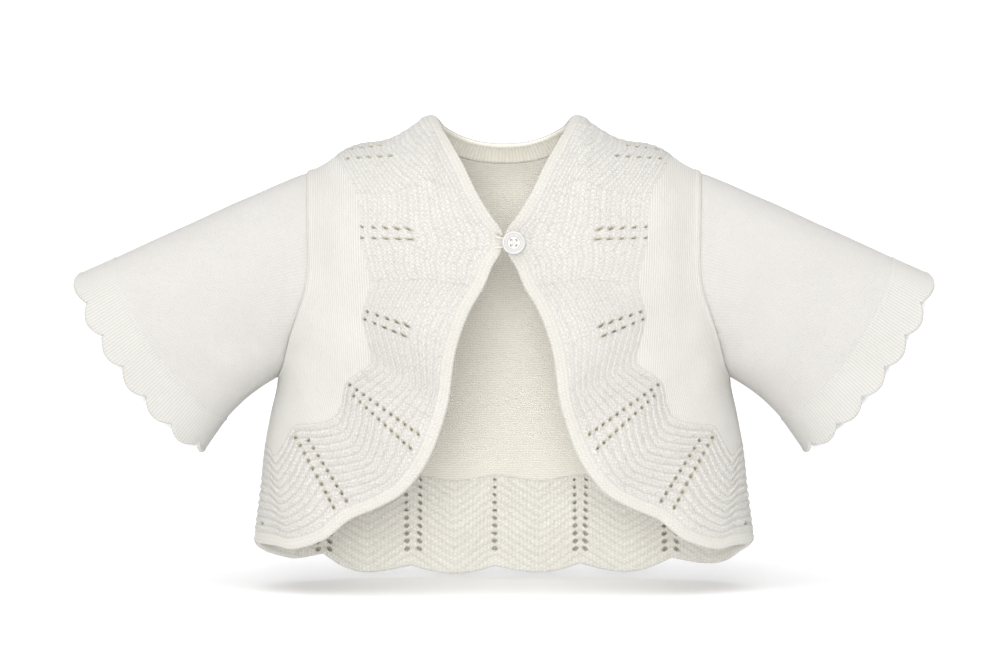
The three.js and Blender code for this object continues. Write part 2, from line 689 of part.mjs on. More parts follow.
const pairs = { front: frontPanel(), border: border(), edging: edging(), sleeve: sleeve(), cuff: cuff() };
for (const [name, geometry] of Object.entries(pairs)) {
  add(`${name}_left`, geometry);
  add(`${name}_right`, mirrored(geometry));
}
add('back', backPanel());
add('hem_back', hemBand());
add('neck_band', neckBand());
add('button', button(), plastic, new THREE.Vector3(BUTTON.x, clothFace, BUTTON.z));
add('button_loop', buttonLoop());

export default cardigan;
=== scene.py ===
"""Looks of a baby's short cardigan in ivory cotton: lace borders, ribbed cuffs, one button.

Forms are in millimetres in the frame of the solids and become metres where a mesh is made.
"""

import math
from contextlib import contextmanager

import bmesh
import bpy
import numpy as np
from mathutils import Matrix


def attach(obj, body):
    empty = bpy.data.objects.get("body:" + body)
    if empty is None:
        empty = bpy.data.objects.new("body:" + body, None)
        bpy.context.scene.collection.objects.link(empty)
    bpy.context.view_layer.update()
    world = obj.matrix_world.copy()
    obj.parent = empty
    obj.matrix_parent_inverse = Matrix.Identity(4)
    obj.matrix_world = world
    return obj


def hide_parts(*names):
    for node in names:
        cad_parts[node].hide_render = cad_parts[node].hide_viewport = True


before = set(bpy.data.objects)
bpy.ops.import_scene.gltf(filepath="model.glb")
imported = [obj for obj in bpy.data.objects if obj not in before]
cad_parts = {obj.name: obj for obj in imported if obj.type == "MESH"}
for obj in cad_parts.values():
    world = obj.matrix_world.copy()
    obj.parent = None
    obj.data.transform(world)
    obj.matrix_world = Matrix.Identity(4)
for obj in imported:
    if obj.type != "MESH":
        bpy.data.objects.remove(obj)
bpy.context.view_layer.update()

MM = 0.001
SIDE = math.pi / 2

# Cloth, as in the solids: thickness, and counts of what the knitter repeats
PLAIN = 1.8
LACE = 2.2
EDGING = 2.4
RIDGES = 11
LOBES = 14
RIBS_IN_A_LOBE = 12

# Size and height of stitches, ridges and ribs
WALE = 1.45
COURSE = 1.15
STITCH = 2.0
RIDGE_HEIGHT = 0.34
WALES_IN_A_RIDGE = 2
RIB_HEIGHT = 0.2
EDGING_WALES = 3
# Painted shade of the knit's dips, where 1 is a crest: its level on plain knit and at seams
PLAIN_CREST = 0.92
SEAM_CREST = 0.9
# How strongly painted shade darkens the yarn round eyelets and the loop's gaps
EYELET_SHADE = 2.0
EDGING_STITCH = 1.8
HEM_RIDGE = 4.1
HEM_STITCH = 1.9
# How much deeper the painted shade is in the valleys of the hem's ridges
HEM_MARK = 2.2
NECK_RIB = 1.9
# How many cells each grid has along and across, under 200,000 triangles a piece and a million in all
CELLS = {
    "border": (484, 90),
    "edging": (720, 14),
    "front": (150, 36),
    "hem_back": (544, 80),
    "neck_band": (420, 22),
    "back": (144, 96),
    "sleeve": (144, 52),
    "cuff": (LOBES * RIBS_IN_A_LOBE * 4, 26),
}

# The body's form by the drop below the shoulders, its shoulder line and its armhole

FOLD = {"front": 40.0, "back": 34.0}
SQUARENESS = 0.025
UNDERARM = -131.0

BODY = {
    "drop": (0, 60, 100, 131, 150, 165, 188, 213, 236),
    "wide": (118, 117, 114.5, 112.5, 116.2, 119, 121.5, 124.6, 126.5),
    "front": (40, 47.5, 50, 50, 50.5, 51, 52.5, 54, 55),
    "back": (38, 44, 45, 45, 46, 47, 49.5, 52, 54),
}
SHOULDER = {
    "x": (0, 29, 33, 36.5, 40.5, 44, 48.5, 55.5, 63, 70, 76, 80, 84, 90, 98.5, 118),
    "z": (-2.5, -2.5, -1.2, 0, -1.1, -3.9, -7, -11, -13.1, -13.8, -15.4, -17.3, -20, -24.2, -28.4, -37),
}
ARMHOLE = {
    "z": (-135, -131, -124, -111.5, -98.8, -90, -80, -62, -45, -28.4),
    "x": (113.6, 112.5, 109.8, 107, 102.8, 99.8, 98.1, 98, 98.2, 98.5),
}
# How the lace's ridges bend at each kind of line
PEAK = {"eyelets": 1.0, "dip": -1.0}
# Lines across the left border in the front view: kind, and x and z at the seam and at the edge
BORDER = [
    ("shoulder", 84, -20, 33, -1.2),
    ("between", 84, -20.5, 31.3, -4.8),
    ("eyelets", 83.6, -21.6, 26.2, -13.8),
    ("between", 79, -29.8, 19.4, -26),
    ("dip", 73.5, -38.8, 13.5, -38.5),
    ("between", 72, -48.8, 6.9, -49.5),
    ("eyelets", 71.5, -60.2, 0.5, -59),
    ("between", 70.5, -67.2, 0.8, -67.2),
    ("between", 68.5, -75.2, 5.8, -76.2),
    ("dip", 66.5, -82.8, 10, -86.2),
    ("between", 68.5, -91.8, 17, -98.3),
    ("eyelets", 70.5, -100.2, 23, -114.8),
    ("between", 68.2, -112.2, 25.5, -128.2),
    ("dip", 66, -122.8, 27.3, -142.2),
    ("between", 71.5, -127.8, 30.5, -154.2),
    ("eyelets", 79, -133.8, 36, -168.8),
    ("between", 81, -143.2, 43, -180.2),
    ("dip", 84.5, -150.2, 52, -189.5),
    ("between", 93.5, -153.4, 64.5, -196.2),
    ("eyelets", 104.5, -154.8, 77, -201.5),
    ("between", 109.5, -162.8, 90, -211.5),
    ("dip", 114, -169.2, 105.5, -216.2),
    ("between", 117, -165.8, 115.8, -214.4),
    ("side", 118.8, -162.8, 124.5, -213),
]
LAST_LINE = len(BORDER) - 1
# How far the ridges bow at a peak, as a share of the line
CHEVRON = 0.05
EDGING_WIDTH = 5.5
# The lines at which the front panel reaches the underarm and ends
UNDERARM_LINE = 15
LAST_PANEL_LINE = 21
# Lines down the back hem in the front view: kind, x, and z at the seam and at the edge
HEM = [
    ("side", -124.5, -181.5, -213),
    ("between", -119.5, -182.5, -218.5),
    ("dip", -107, -183, -222),
    ("eyelets", -91.5, -180.2, -219.6),
    ("dip", -69, -183, -229.2),
    ("eyelets", -47, -180.2, -225.8),
    ("dip", -25, -183, -230),
    ("eyelets", -4.5, -180.2, -226.2),
    ("dip", 17.5, -183, -229.3),
    ("eyelets", 38.5, -180.2, -224.8),
    ("dip", 60.5, -183, -229),
    ("eyelets", 84.5, -180.2, -221.8),
    ("dip", 104, -183, -224.5),
    ("between", 118.5, -182.5, -218.5),
    ("side", 124.5, -181.5, -212),
]
HEM_ZIGZAG = 5.2
# Half of the neck band from the shoulder to the middle: x and fall at its top and at its seam
NECK = [
    (33, 0, 42.5, 0),
    (31.8, 7, 41, 10),
    (29.5, 13, 37.5, 19.5),
    (26, 17.6, 32, 27.5),
    (20, 22.6, 25, 33.8),
    (11, 26.4, 14, 38),
    (0, 27.8, 0, 39.3),
]
# Rings of the left sleeve from the armhole to the edge: x and z at the top and below, half depth and bow
SLEEVE = [
    (98.5, -28.4, 112.5, -131, 0, 0),
    (117, -36, 117, -132.8, 29, 2),
    (137, -44.8, 121.5, -135.5, 28.5, 4.5),
    (157, -54, 127, -139.8, 27.5, 7),
    (176, -62.8, 132.5, -144.8, 26, 9),
    (193.5, -70.8, 138.2, -150.8, 25, 10.5),
    (211, -78.5, 148.2, -165, 26, 10.5),
]
CUFF_RING = 5
EDGE_RING = 6
BOW_FULLNESS = 1.4
LOBE_RISE = 4.4
LOBE_ROUNDNESS = 0.8
# How far round the edge the wide top lobe begins behind the top fold and ends in front of it
TOP_LOBE = (-2.0, 25.4)
BUTTON = {"x": 4.8, "z": -64.0, "radius": 5.85, "thick": 2.5, "lift": 2.2}
# How far each of the button's four holes lies from its middle, across and down
HOLE_PLACE = 1.25
HOLE_RADIUS = 0.72
HOLE_DEPTH = 0.95
# How far in from the button's rim its dish begins, and how deep the dish is
DISH_RIM = 2.95
DISH_DEPTH = 1.25

# Eyelet rows of the left border in the front view: x and z of the first and last hole, how many, the length
# of the first and last, how wide they are, and how many degrees the long way slants down to the right
BORDER_EYELETS = [
    (-76.0, -17.0, -62.0, -15.2, 4, 1.3, 1.6, 0.9, 10),
    (-78.0, -21.8, -56.6, -20.6, 5, 1.7, 2.2, 1.0, 5),
    (-70.6, -55.9, -47.4, -57.2, 5, 1.7, 3.9, 1.05, 22),
    (-70.6, -61.4, -46.6, -62.2, 5, 1.8, 4.0, 1.0, 3),
    (-67.8, -98.2, -48.2, -105.0, 5, 1.4, 3.9, 1.15, 34),
    (-69.0, -102.0, -49.8, -109.9, 5, 1.4, 3.8, 1.05, 26),
    (-76.6, -134.4, -42.5, -158.8, 11, 1.5, 2.5, 1.4, 58),
    (-74.6, -140.0, -46.5, -165.8, 10, 1.5, 2.5, 1.4, 58),
    (-103.7, -160.8, -84.5, -195.3, 10, 1.7, 2.6, 1.5, 60),
    (-97.0, -162.2, -78.2, -192.0, 9, 1.7, 2.6, 1.5, 60),
    (-120.5, -203.7, -120.5, -203.7, 1, 1.6, 1.6, 1.4, 0),
]
# Small dips by the button loop, with painted shade in them, in the same columns
LOOP_GAPS = [
    (-2.8, -60.2, -0.9, -61.0, 2, 1.3, 1.1, 0.9, 20),
]
# Eyelet columns of the back hem: the middle, and half the distance between the two columns of a pair
HEM_EYELETS = [(-91.5, 3.6), (-46.0, 3.7), (-4.75, 0), (38.6, 3.0), (84.5, 3.6)]
HEM_HOLES = 10
TOP_HOLE = -182.2
LOW_HOLE = -217.2

# Soft folds in the front view, on the left half or right across the back: x and z of both ends, width, height
FRONT_FOLDS = [
    (-92, -48, -90, -112, 5, -0.7),
    (-97, -118, -84, -142, 6, -0.8),
    (-107, -122, -96, -146, 5, 0.7),
    (-74, -112, -80, -128, 5, 0.6),
]
SLEEVE_FOLDS = [
    (-104, -46, -106, -104, 6, -1.2),
    (-112, -122, -132, -100, 7, -1.3),
    (-118, -134, -150, -118, 7, 0.7),
    (-108, -96, -128, -72, 7, 0.6),
]
BACK_FOLDS = [
    (-92, -52, -88, -112, 7, -0.9),
    (-98, -118, -78, -148, 8, -0.9),
    (92, -52, 88, -112, 7, -0.9),
    (98, -118, 78, -148, 8, -0.9),
    (-22, -62, 20, -66, 9, -0.6),
    (-50, -150, -36, -100, 9, 0.6),
    (50, -150, 36, -100, 9, 0.6),
]

# A distance from an armhole that is past its roll
NO_ARMHOLE = 9
# The body's mean half width, which turns an angle into a length
MEAN_RADIUS = 115

# Brightness of the room above, where its walls are 1
CEILING = 0.38
# In metres, the floor passes just below the back hem, and it rises this many degrees to the back
FLOOR_UNDER_HEM = (0, 0.054, -0.2318)
FLOOR_RISE = 5
# In metres, the camera's distance, its height and the width that it sees, and its sensor in millimetres
FAR = 6
EYE_HEIGHT = -0.11025
SEEN = 0.504
SENSOR = 36


def mix(a, b, t):
    return a + (b - a) * t


def flow(values, at):
    """A smooth curve through values, read at numbers along it."""
    i = np.clip(np.floor(at).astype(int), 0, len(values) - 2)
    a, b, c, d = (values[np.clip(i + k, 0, len(values) - 1)] for k in (-1, 0, 1, 2))
    t = np.reshape(at - i, np.shape(at) + (1,) * (values.ndim - 1))
    return b + 0.5 * t * (c - a + t * (2 * a - 5 * b + 4 * c - d + t * (3 * (b - c) + d - a)))


def read(table, key, at, name):
    """Reads a smooth curve through a column of a table that is sorted by another column."""
    keys = np.array(table[key], float)
    values = np.array(table[name], float)
    last = len(keys) - 1
    low = np.maximum(np.arange(last + 1) - 1, 0)
    high = np.minimum(np.arange(last + 1) + 1, last)
    slope = (values[high] - values[low]) / (keys[high] - keys[low])
    i = np.clip(np.searchsorted(keys, at) - 1, 0, last - 1)
    span = keys[i + 1] - keys[i]
    t = np.clip((at - keys[i]) / span, 0, 1)
    bend = t * (1 - t) * span
    curve = mix(values[i], values[i + 1], t * t * (3 - 2 * t))
    return curve + bend * ((1 - t) * slope[i] - t * slope[i + 1])


def solve(rising, value, low, high):
    """Finds where a rising function reaches each value."""
    value = np.asarray(value, float)
    low = np.full(value.shape, low, float)
    high = np.full(value.shape, high, float)
    for _ in range(34):
        middle = (low + high) / 2
        short = rising(middle) < value
        low = np.where(short, middle, low)
        high = np.where(short, high, middle)
    return (low + high) / 2


def smooth(x, low=0.0, high=1.0):
    t = np.clip((x - low) / (high - low), 0, 1)
    return t * t * (3 - 2 * t)


def bump_at(x, middle, width):
    return np.exp(-(((x - middle) / width) ** 2))


# A place on the body is a turn round from the middle of its front or back, and a fall down the cloth

def oval_wide(turn):
    return (1 + SQUARENESS) * np.sin(turn) + SQUARENESS * np.sin(3 * turn)


def oval_deep(turn):
    return (1 + SQUARENESS) * np.cos(turn) - SQUARENESS * np.cos(3 * turn)


def drop_of(side, fall):
    fold = FOLD[side]
    return np.where(fall < fold * SIDE, fold * (1 - np.cos(fall / fold)), fall - fold * (SIDE - 1))


def fall_of(side, drop):
    fold = FOLD[side]
    near = fold * np.arccos(np.clip(1 - drop / fold, -1, 1))
    return np.where(drop < fold, near, drop + fold * (SIDE - 1))


def height_of(x, drop):
    return read(SHOULDER, "x", np.abs(x), "z") * (1 - smooth(drop / -UNDERARM)) - drop


def body_point(side, turn, fall):
    drop = drop_of(side, fall)
    fold = FOLD[side]
    reach = np.where(fall < fold * SIDE, np.sin(fall / fold), 1)
    x = read(BODY, "drop", drop, "wide") * oval_wide(turn)
    y = read(BODY, "drop", drop, side) * oval_deep(turn) * reach
    return np.stack([x, -y if side == "front" else y, height_of(x, drop)], -1)


def unit(v):
    return v / np.maximum(np.linalg.norm(v, axis=-1, keepdims=True), 1e-9)


def on_body(side, place):
    """Points and outward normals of the body at places, each a turn and a fall."""
    nudge = 1e-3
    turn, fall = place[..., 0], place[..., 1]
    across = body_point(side, turn + nudge, fall) - body_point(side, turn - nudge, fall)
    down = body_point(side, turn, fall + nudge) - body_point(side, turn, fall - nudge)
    normal = np.cross(down, across) if side == "front" else np.cross(across, down)
    return body_point(side, turn, fall), unit(normal)


def place_at(side, x, z):
    """The places that the front view shows at x, z."""
    x = np.asarray(x, float)
    z = np.asarray(z, float)
    drop = solve(lambda value: -height_of(x, value), -z, 0, 240)
    share = np.clip(np.abs(x) / read(BODY, "drop", drop, "wide"), 0, 1)
    turn = np.sign(x) * solve(oval_wide, share, 0, SIDE)
    return np.stack([turn, np.where(drop < 1e-3, 0, fall_of(side, drop))], -1)


def path_at(places, line):
    """A smooth path through places, read at numbers of lines along it."""
    place = flow(places, np.asarray(line, float))
    place[..., 1] = np.maximum(place[..., 1], 0)
    return place


def front_places(column):
    x = np.array([-row[column] for row in BORDER], float)
    z = np.array([row[column + 1] for row in BORDER], float)
    places = place_at("front", x, z)
    places[-1, 0] = -SIDE
    places[0, 1] = 0
    return places


SEAM_PLACES = front_places(1)
EDGE_PLACES = front_places(3)


def peak_at(table, line):
    """How near a line of the lace is to an eyelet line, from 1 there to -1 at a dip."""
    peaks = np.array([PEAK.get(row[0], 0.0) for row in table])
    return np.interp(line, np.arange(len(peaks)), peaks)


def across_front(line, share):
    return mix(path_at(SEAM_PLACES, line), path_at(EDGE_PLACES, line), np.asarray(share)[..., None])


def edging_share(line):
    """Where the edging's seam lies on a line across the border, as a share of that line."""
    line = np.asarray(line, float)

    def edge(at):
        return on_body("front", path_at(EDGE_PLACES, np.clip(at, 0, LAST_LINE)))[0]

    along = unit(edge(line + 0.2) - edge(line - 0.2))
    seam = on_body("front", across_front(line, np.zeros(line.shape)))[0]
    across = seam - edge(line)
    square = np.clip(np.linalg.norm(np.cross(unit(across), along), axis=-1), 0.7, 1)
    return 1 - EDGING_WIDTH / square / np.linalg.norm(across, axis=-1)


def armhole_places(side, share):
    share = np.asarray(share, float)
    z = mix(ARMHOLE["z"][-1], UNDERARM, (1 - np.cos(math.pi * share)) / 2)
    place = place_at(side, -read(ARMHOLE, "z", z, "x"), z)
    place[..., 1] = np.where(share <= 0, 0, place[..., 1])
    place[..., 0] = np.where(share >= 1, -SIDE, place[..., 0])
    return place


def outer_places(line):
    """The front panel's outer side: the armhole, and below the underarm the side seam."""
    line = np.asarray(line, float)
    arm = armhole_places("front", np.clip(line / UNDERARM_LINE, 0, 1))
    t = np.clip((line - UNDERARM_LINE) / (LAST_PANEL_LINE - UNDERARM_LINE), 0, 1)
    side = place_at("front", np.full(line.shape, -1.0), mix(UNDERARM, BORDER[-1][2], t))
    side[..., 0] = -SIDE
    return np.where((line <= UNDERARM_LINE)[..., None], arm, side)


def grid_lengths(points):
    """How far each point of a grid lies from its four sides, measured along the grid."""
    down = np.linalg.norm(np.diff(points, axis=0), axis=-1).cumsum(0)
    across = np.linalg.norm(np.diff(points, axis=1), axis=-1).cumsum(1)
    top = np.vstack([np.zeros((1, points.shape[1])), down])
    left = np.hstack([np.zeros((points.shape[0], 1)), across])
    return {"top": top, "bottom": top[-1:] - top, "left": left, "right": left[:, -1:] - left}


def even_lines(first, last, rows, at):
    """Numbers of lines from first to last that lie evenly along a path."""
    fine = np.linspace(first, last, 2000)
    points = at(fine)
    length = np.concatenate([[0], np.linalg.norm(np.diff(points, axis=0), axis=1).cumsum()])
    return np.interp(np.linspace(0, length[-1], rows + 1), length, fine), length[-1]


def noise(points, size, seed):
    """Soft unevenness in three directions, between -1 and 1."""
    turns = np.random.default_rng(seed).uniform(0, 2 * math.pi, (3, 4))
    total = 0
    for k in range(4):
        wave = 2 * math.pi / (size * (0.6 + 0.35 * k))
        x, y, z = (points[..., axis] * wave for axis in range(3))
        total = total + np.sin(x + turns[0, k] + 1.7 * np.sin(z + turns[1, k]))
        total = total + np.sin(z * 1.1 + turns[2, k] + 1.3 * np.sin(y))
    return total / 8


# Pieces of cloth

@contextmanager
def edited(mesh):
    """Opens a mesh for editing and writes it back."""
    box = bmesh.new()
    box.from_mesh(mesh)
    yield box
    box.to_mesh(mesh)
    box.free()


def add_object(name, data):
    made = bpy.data.objects.new(name, data)
    bpy.context.scene.collection.objects.link(made)
    return made


def hole_reach(points, hole):
    """How far points lie from a hole's middle, as a share of its rim, seen from the front."""
    x, z, long, short, slant = hole
    angle = math.radians(slant)
    dx, dz = points[..., 0] - x, points[..., 2] - z
    u = (dx * math.cos(angle) - dz * math.sin(angle)) / (long / 2)
    v = (dx * math.sin(angle) + dz * math.cos(angle)) / (short / 2)
    return np.hypot(u, v)


def grid_mesh(name, rows, columns, uv):
    """A flat grid whose points carry their spot, row by row, and its corners their place in the knit."""
    mesh = bpy.data.meshes.new(name)
    with edited(mesh) as box:
        bmesh.ops.create_grid(box, x_segments=columns, y_segments=rows, size=1)
    flat = np.zeros(len(mesh.vertices) * 3)
    mesh.vertices.foreach_get("co", flat)
    flat = (flat.reshape(-1, 3) + 1) / 2
    row, column = np.rint(flat[:, 1] * rows), np.rint(flat[:, 0] * columns)
    spot = (row * (columns + 1) + column).astype(int)
    mesh.attributes.new("spot", "INT", "POINT").data.foreach_set("value", spot)
    corners = np.zeros(len(mesh.loops), int)
    mesh.loops.foreach_get("vertex_index", corners)
    layer = mesh.uv_layers.new(name="UVMap")
    layer.data.foreach_set("uv", uv.reshape(-1, 2)[spot[corners]].ravel())
    return mesh, spot[corners].reshape(-1, 4)


def spots_of(mesh):
    spot = np.zeros(len(mesh.vertices), int)
    mesh.attributes["spot"].data.foreach_get("value", spot)
    return spot


def rim_spots(mesh):
    """The spots of the points on open edges."""
    corner_edges = np.zeros(len(mesh.loops), int)
    mesh.loops.foreach_get("edge_index", corner_edges)
    used = np.bincount(corner_edges, minlength=len(mesh.edges))
    ends = np.zeros(len(mesh.edges) * 2, int)
    mesh.edges.foreach_get("vertices", ends)
    return np.unique(spots_of(mesh)[ends.reshape(-1, 2)[used == 1]])


def round_holes(mesh, points, normals, holes, columns, rows):
    """Moves the points round each hole onto its rim."""
    spots = rim_spots(mesh)
    row, column = spots // (columns + 1), spots % (columns + 1)
    spots = spots[(row > 0) & (row < rows) & (column > 0) & (column < columns)]
    near, normal = points[spots], normals[spots]
    reaches = np.array([hole_reach(near, hole) for hole in holes])
    which = reaches.argmin(0)
    reach = reaches.min(0)
    middle = np.array(holes)[which][:, :2]
    shift = (near[:, [0, 2]] - middle) * (1 / np.maximum(reach, 0.2) - 1)[:, None]
    moved = near.copy()
    moved[:, [0, 2]] += shift
    slope = (normal[:, 0] * shift[:, 0] + normal[:, 2] * shift[:, 1]) / normal[:, 1]
    moved[:, 1] -= np.clip(slope, -0.6, 0.6)
    ok = (reach > 0.45) & (reach < 2.2)
    points[spots[ok]] = moved[ok]


def narrowed(points, holes, far):
    """Narrows and lowers every eyelet on the far side, as thick yarn closes it in."""
    points = points.copy()
    near = np.array([hole_reach(points, hole) for hole in holes])
    which, reach = near.argmin(0), near.min(0)
    middle = np.array(holes)[which][:, :2]
    pull = far * (1 - smooth(reach, 1.0, 2.4))
    offset = points[:, [0, 2]] - middle
    points[:, [0, 2]] -= offset * (0.75 * pull)[:, None]
    points[:, 2] -= 0.9 * pull
    return points


def cloth(name, form, thick, outer, inner, uv, materials, holes=(), closed=False, crests=None, far=-1):
    """A thin shell on a grid of points: its outer and inner side are raised on their own.

    Its holes are real ones. A closed grid meets itself at its last column. The material reads the crests of
    the outer and inner side, which are 1 on the knit's ridges and less in its dips and round eyelets, and
    paints shade where they are low. Far is the side turned away from the camera: 1 for the outer one and -1
    for the inner one.
    """
    points, normals = form
    rows, columns = points.shape[0] - 1, points.shape[1] - 1
    mesh, cells = grid_mesh(name, rows, columns, uv)
    points = points.reshape(-1, 3).copy()
    normals = normals.reshape(-1, 3)
    with edited(mesh) as box:
        box.faces.ensure_lookup_table()
        if len(holes):
            middle = points[cells].mean(1)
            cut = np.min([hole_reach(middle, hole) for hole in holes], axis=0) < 1
            bmesh.ops.delete(box, geom=[box.faces[k] for k in np.flatnonzero(cut)], context="FACES")
        if closed:
            spot = box.verts.layers.int["spot"]
            at = {v[spot]: v for v in box.verts}
            ends = [(i + 1) * (columns + 1) - 1 for i in range(rows + 1)]
            bmesh.ops.weld_verts(box, targetmap={at[end]: at[end - columns] for end in ends})
    if len(holes):
        round_holes(mesh, points, normals, holes, columns, rows)
    piece = add_object(name, mesh)
    shell = piece.modifiers.new("Solidify", "SOLIDIFY")
    shell.thickness = thick * MM
    shell.material_offset = 1
    for material in materials:
        mesh.materials.append(material)
    graph = bpy.context.evaluated_depsgraph_get()
    made = bpy.data.meshes.new_from_object(piece.evaluated_get(graph))
    piece.modifiers.clear()
    piece.data = made
    spot = spots_of(made)
    half = len(spot) // 2
    out = np.ones(len(spot))
    out[half:] = -1
    lift = np.where(out > 0, outer.ravel()[spot], -(thick + inner.ravel()[spot]))
    spots = points[spot] + normals[spot] * lift[:, None]
    if len(holes):
        spots = narrowed(spots, holes, out == far)
    made.vertices.foreach_set("co", (spots * MM).ravel())
    made.attributes.remove(made.attributes["spot"])
    # The crest sets the painted shade of the knit's dips; plain knit keeps one level
    crest = np.full(len(spot), PLAIN_CREST)
    if crests:
        crest = np.where(out > 0, crests[0].ravel()[spot], crests[1].ravel()[spot])
    made.attributes.new("crest", "FLOAT", "POINT").data.foreach_set("value", crest)
    made.polygons.foreach_set("use_smooth", np.ones(len(made.polygons), bool))
    made.update()
    made.set_sharp_from_angle(angle=math.radians(60))
    return piece


def mirrored(piece, name):
    """The same piece on the other side of the body."""
    copy = add_object(name, piece.data.copy())
    with edited(copy.data) as box:
        bmesh.ops.scale(box, vec=(-1, 1, 1), verts=box.verts)
        bmesh.ops.reverse_faces(box, faces=box.faces)
    return copy


def rounded(depth, thick):
    """How much each side of a free edge sinks, that far in from the edge."""
    radius = thick / 2
    return radius - np.sqrt(np.maximum(radius**2 - np.maximum(radius - depth, 0) ** 2, 0))


def edge_depth(lengths, sides):
    return np.min([lengths[side] for side in sides], axis=0)


def uneven(points, seed):
    """How far hand knitting strays from even rows, in stitches."""
    return 0.2 * noise(points, 9, seed) + 0.16 * noise(points, 3.7, seed + 1)


def ridged(count, height, softness=1.2):
    """Rounded ridges side by side, as their height and how near the crest it is, which sets the painted shade
    in the valleys.
    """
    crest = np.abs(np.sin(math.pi * count)) ** softness
    return height * crest, 0.85 + 0.15 * crest


def soft_folds(points, folds):
    """Soft troughs and ridges along short lines in the front view."""
    total = np.zeros(points.shape[:-1])
    for x1, z1, x2, z2, width, height in folds:
        along = np.array([x2 - x1, z2 - z1])
        length = np.hypot(*along)
        dx, dz = points[..., 0] - x1, points[..., 2] - z1
        t = np.clip((dx * along[0] + dz * along[1]) / length**2, 0, 1)
        away = np.hypot(dx - t * along[0], dz - t * along[1])
        ends = np.sin(math.pi * np.clip(t, 0.04, 0.96)) ** 0.5
        total = total + height * bump_at(away, 0, width) * ends
    return total


def hole_shade(points, holes):
    """How near points lie to the brink of an eyelet, up to 1: where painted shade darkens the yarn."""
    return np.max([smooth(1.5 - hole_reach(points, hole), 0, 0.5) for hole in holes], axis=0)


def hole_lips(points, holes, height):
    """Round every eyelet the yarn stands a little proud, and dips into the hole."""
    lip = np.zeros(points.shape[:-1])
    for hole in holes:
        reach = hole_reach(points, hole)
        lip = lip + height * bump_at(reach, 1.75, 0.45) - 1.2 * height * bump_at(reach, 0.95, 0.4)
    return lip


def armhole_roll(away):
    """The raised edge that the seam leaves round an armhole."""
    return 0.6 * bump_at(away, 1.6, 1.3)


def knit_uv(places):
    """Wales across and courses down, counted from the middle of the body and from its top."""
    return np.stack([places[..., 0] * MEAN_RADIUS / WALE, places[..., 1] / COURSE], -1)


def border_form():
    rows, columns = CELLS["border"]

    def middle(at):
        return on_body("front", across_front(at, np.full(at.shape, 0.5)))[0]

    lines, length = even_lines(0, LAST_LINE, rows, middle)
    line, share = np.meshgrid(lines, np.linspace(0, 1, columns + 1), indexing="ij")
    peak = peak_at(BORDER, line)
    warped = share - CHEVRON * peak * 4 * share * (1 - share)
    place = across_front(line, warped * edging_share(lines)[:, None])
    return line, share, on_body("front", place), length


def border():
    line, share, form, length = border_form()
    points = form[0]
    lengths = grid_lengths(points)
    stitch = np.linspace(0, length / STITCH, line.shape[0])[:, None] + uneven(points, seed=21)
    stray = 0.5 * uneven(points, seed=31)
    ridge = share * RIDGES + stray * smooth(share * (1 - share), 0, 0.04)
    seam = edge_depth(lengths, ["left", "right"])
    ends = edge_depth(lengths, ["top", "bottom"])
    calm = smooth(seam, 0, 0.8) * smooth(ends, 0, 0.8)
    knit, crest = ridged(ridge, RIDGE_HEIGHT)
    # The ridges stand out more towards the corner, higher and with deeper painted shade in their valleys
    marked = mix(0.8, 2.2, smooth(line, 9, 17))
    knit, crest = knit * marked, 1 - (1 - crest) * marked
    inside, inner_crest = ridged(ridge + 0.5, 0.35)
    holes = holes_of(BORDER_EYELETS)
    # A faint groove with painted shade along it where the knitting turns, at every fifth line from the first
    # dip
    turn = bump_at(np.abs(line - np.round((line - 4) / 5) * 5 - 4), 0, 0.06)
    folds = soft_folds(points, FRONT_FOLDS) + 0.25 * noise(points, 60, seed=3)
    outer = (knit - 0.28 * turn) * calm + hole_lips(points, holes, 0.3) + folds
    inner = inside * calm - folds
    # Painted shade round the eyelets
    shade = EYELET_SHADE * hole_shade(points, holes)
    crest = mix(SEAM_CREST, crest - 0.14 * turn, calm) - shade
    uv = np.stack([ridge * WALES_IN_A_RIDGE, stitch], -1)
    skins = [LACE_KNIT, LACE_INSIDE]
    crests = (crest, inner_crest - shade)
    return cloth("border_left_knit", form, LACE, outer, inner, uv, skins, holes, crests=crests)


def holes_of(rows):
    holes = []
    for x1, z1, x2, z2, count, first, last, short, slant in rows:
        for t in np.linspace(0, 1, count):
            holes.append((mix(x1, x2, t), mix(z1, z2, t), mix(first, last, t), short, slant))
    return holes


def edging():
    rows, columns = CELLS["edging"]
    lines, length = even_lines(0, LAST_LINE, rows, lambda t: on_body("front", path_at(EDGE_PLACES, t))[0])
    line, part = np.meshgrid(lines, np.linspace(0, 1, columns + 1), indexing="ij")
    place = across_front(line, mix(edging_share(lines)[:, None], 1, part))
    form = on_body("front", place)
    points = form[0]
    lengths = grid_lengths(points)
    sink = rounded(lengths["right"], EDGING)
    even = np.linspace(0, length / EDGING_STITCH, rows + 1)[:, None]
    stitch = even + uneven(points, seed=41)
    wales = part * EDGING_WALES + 0.3 * uneven(points, seed=43)
    roll = 0.35 * np.sin(math.pi * np.clip(part * 0.9, 0, 1)) ** 0.7
    knit = ridged(wales, 0.1)[0]
    calm = smooth(lengths["right"], 0, 0.9) * smooth(lengths["left"], 0, 0.9)
    # A small dip in the gaps by the loop, with painted shade in it
    gap = hole_shade(points, holes_of(LOOP_GAPS))
    outer = roll + knit * calm - sink - 0.7 * gap
    inner = 0.3 * np.sin(math.pi * part) + 0.6 * knit * calm - sink
    uv = np.stack([wales, stitch], -1)
    crest = np.full(part.shape, PLAIN_CREST)
    crests = (crest - EYELET_SHADE * gap, crest)
    skins = [EDGING_KNIT, EDGING_KNIT]
    return cloth("edging_left_knit", form, EDGING, outer, inner, uv, skins, crests=crests)


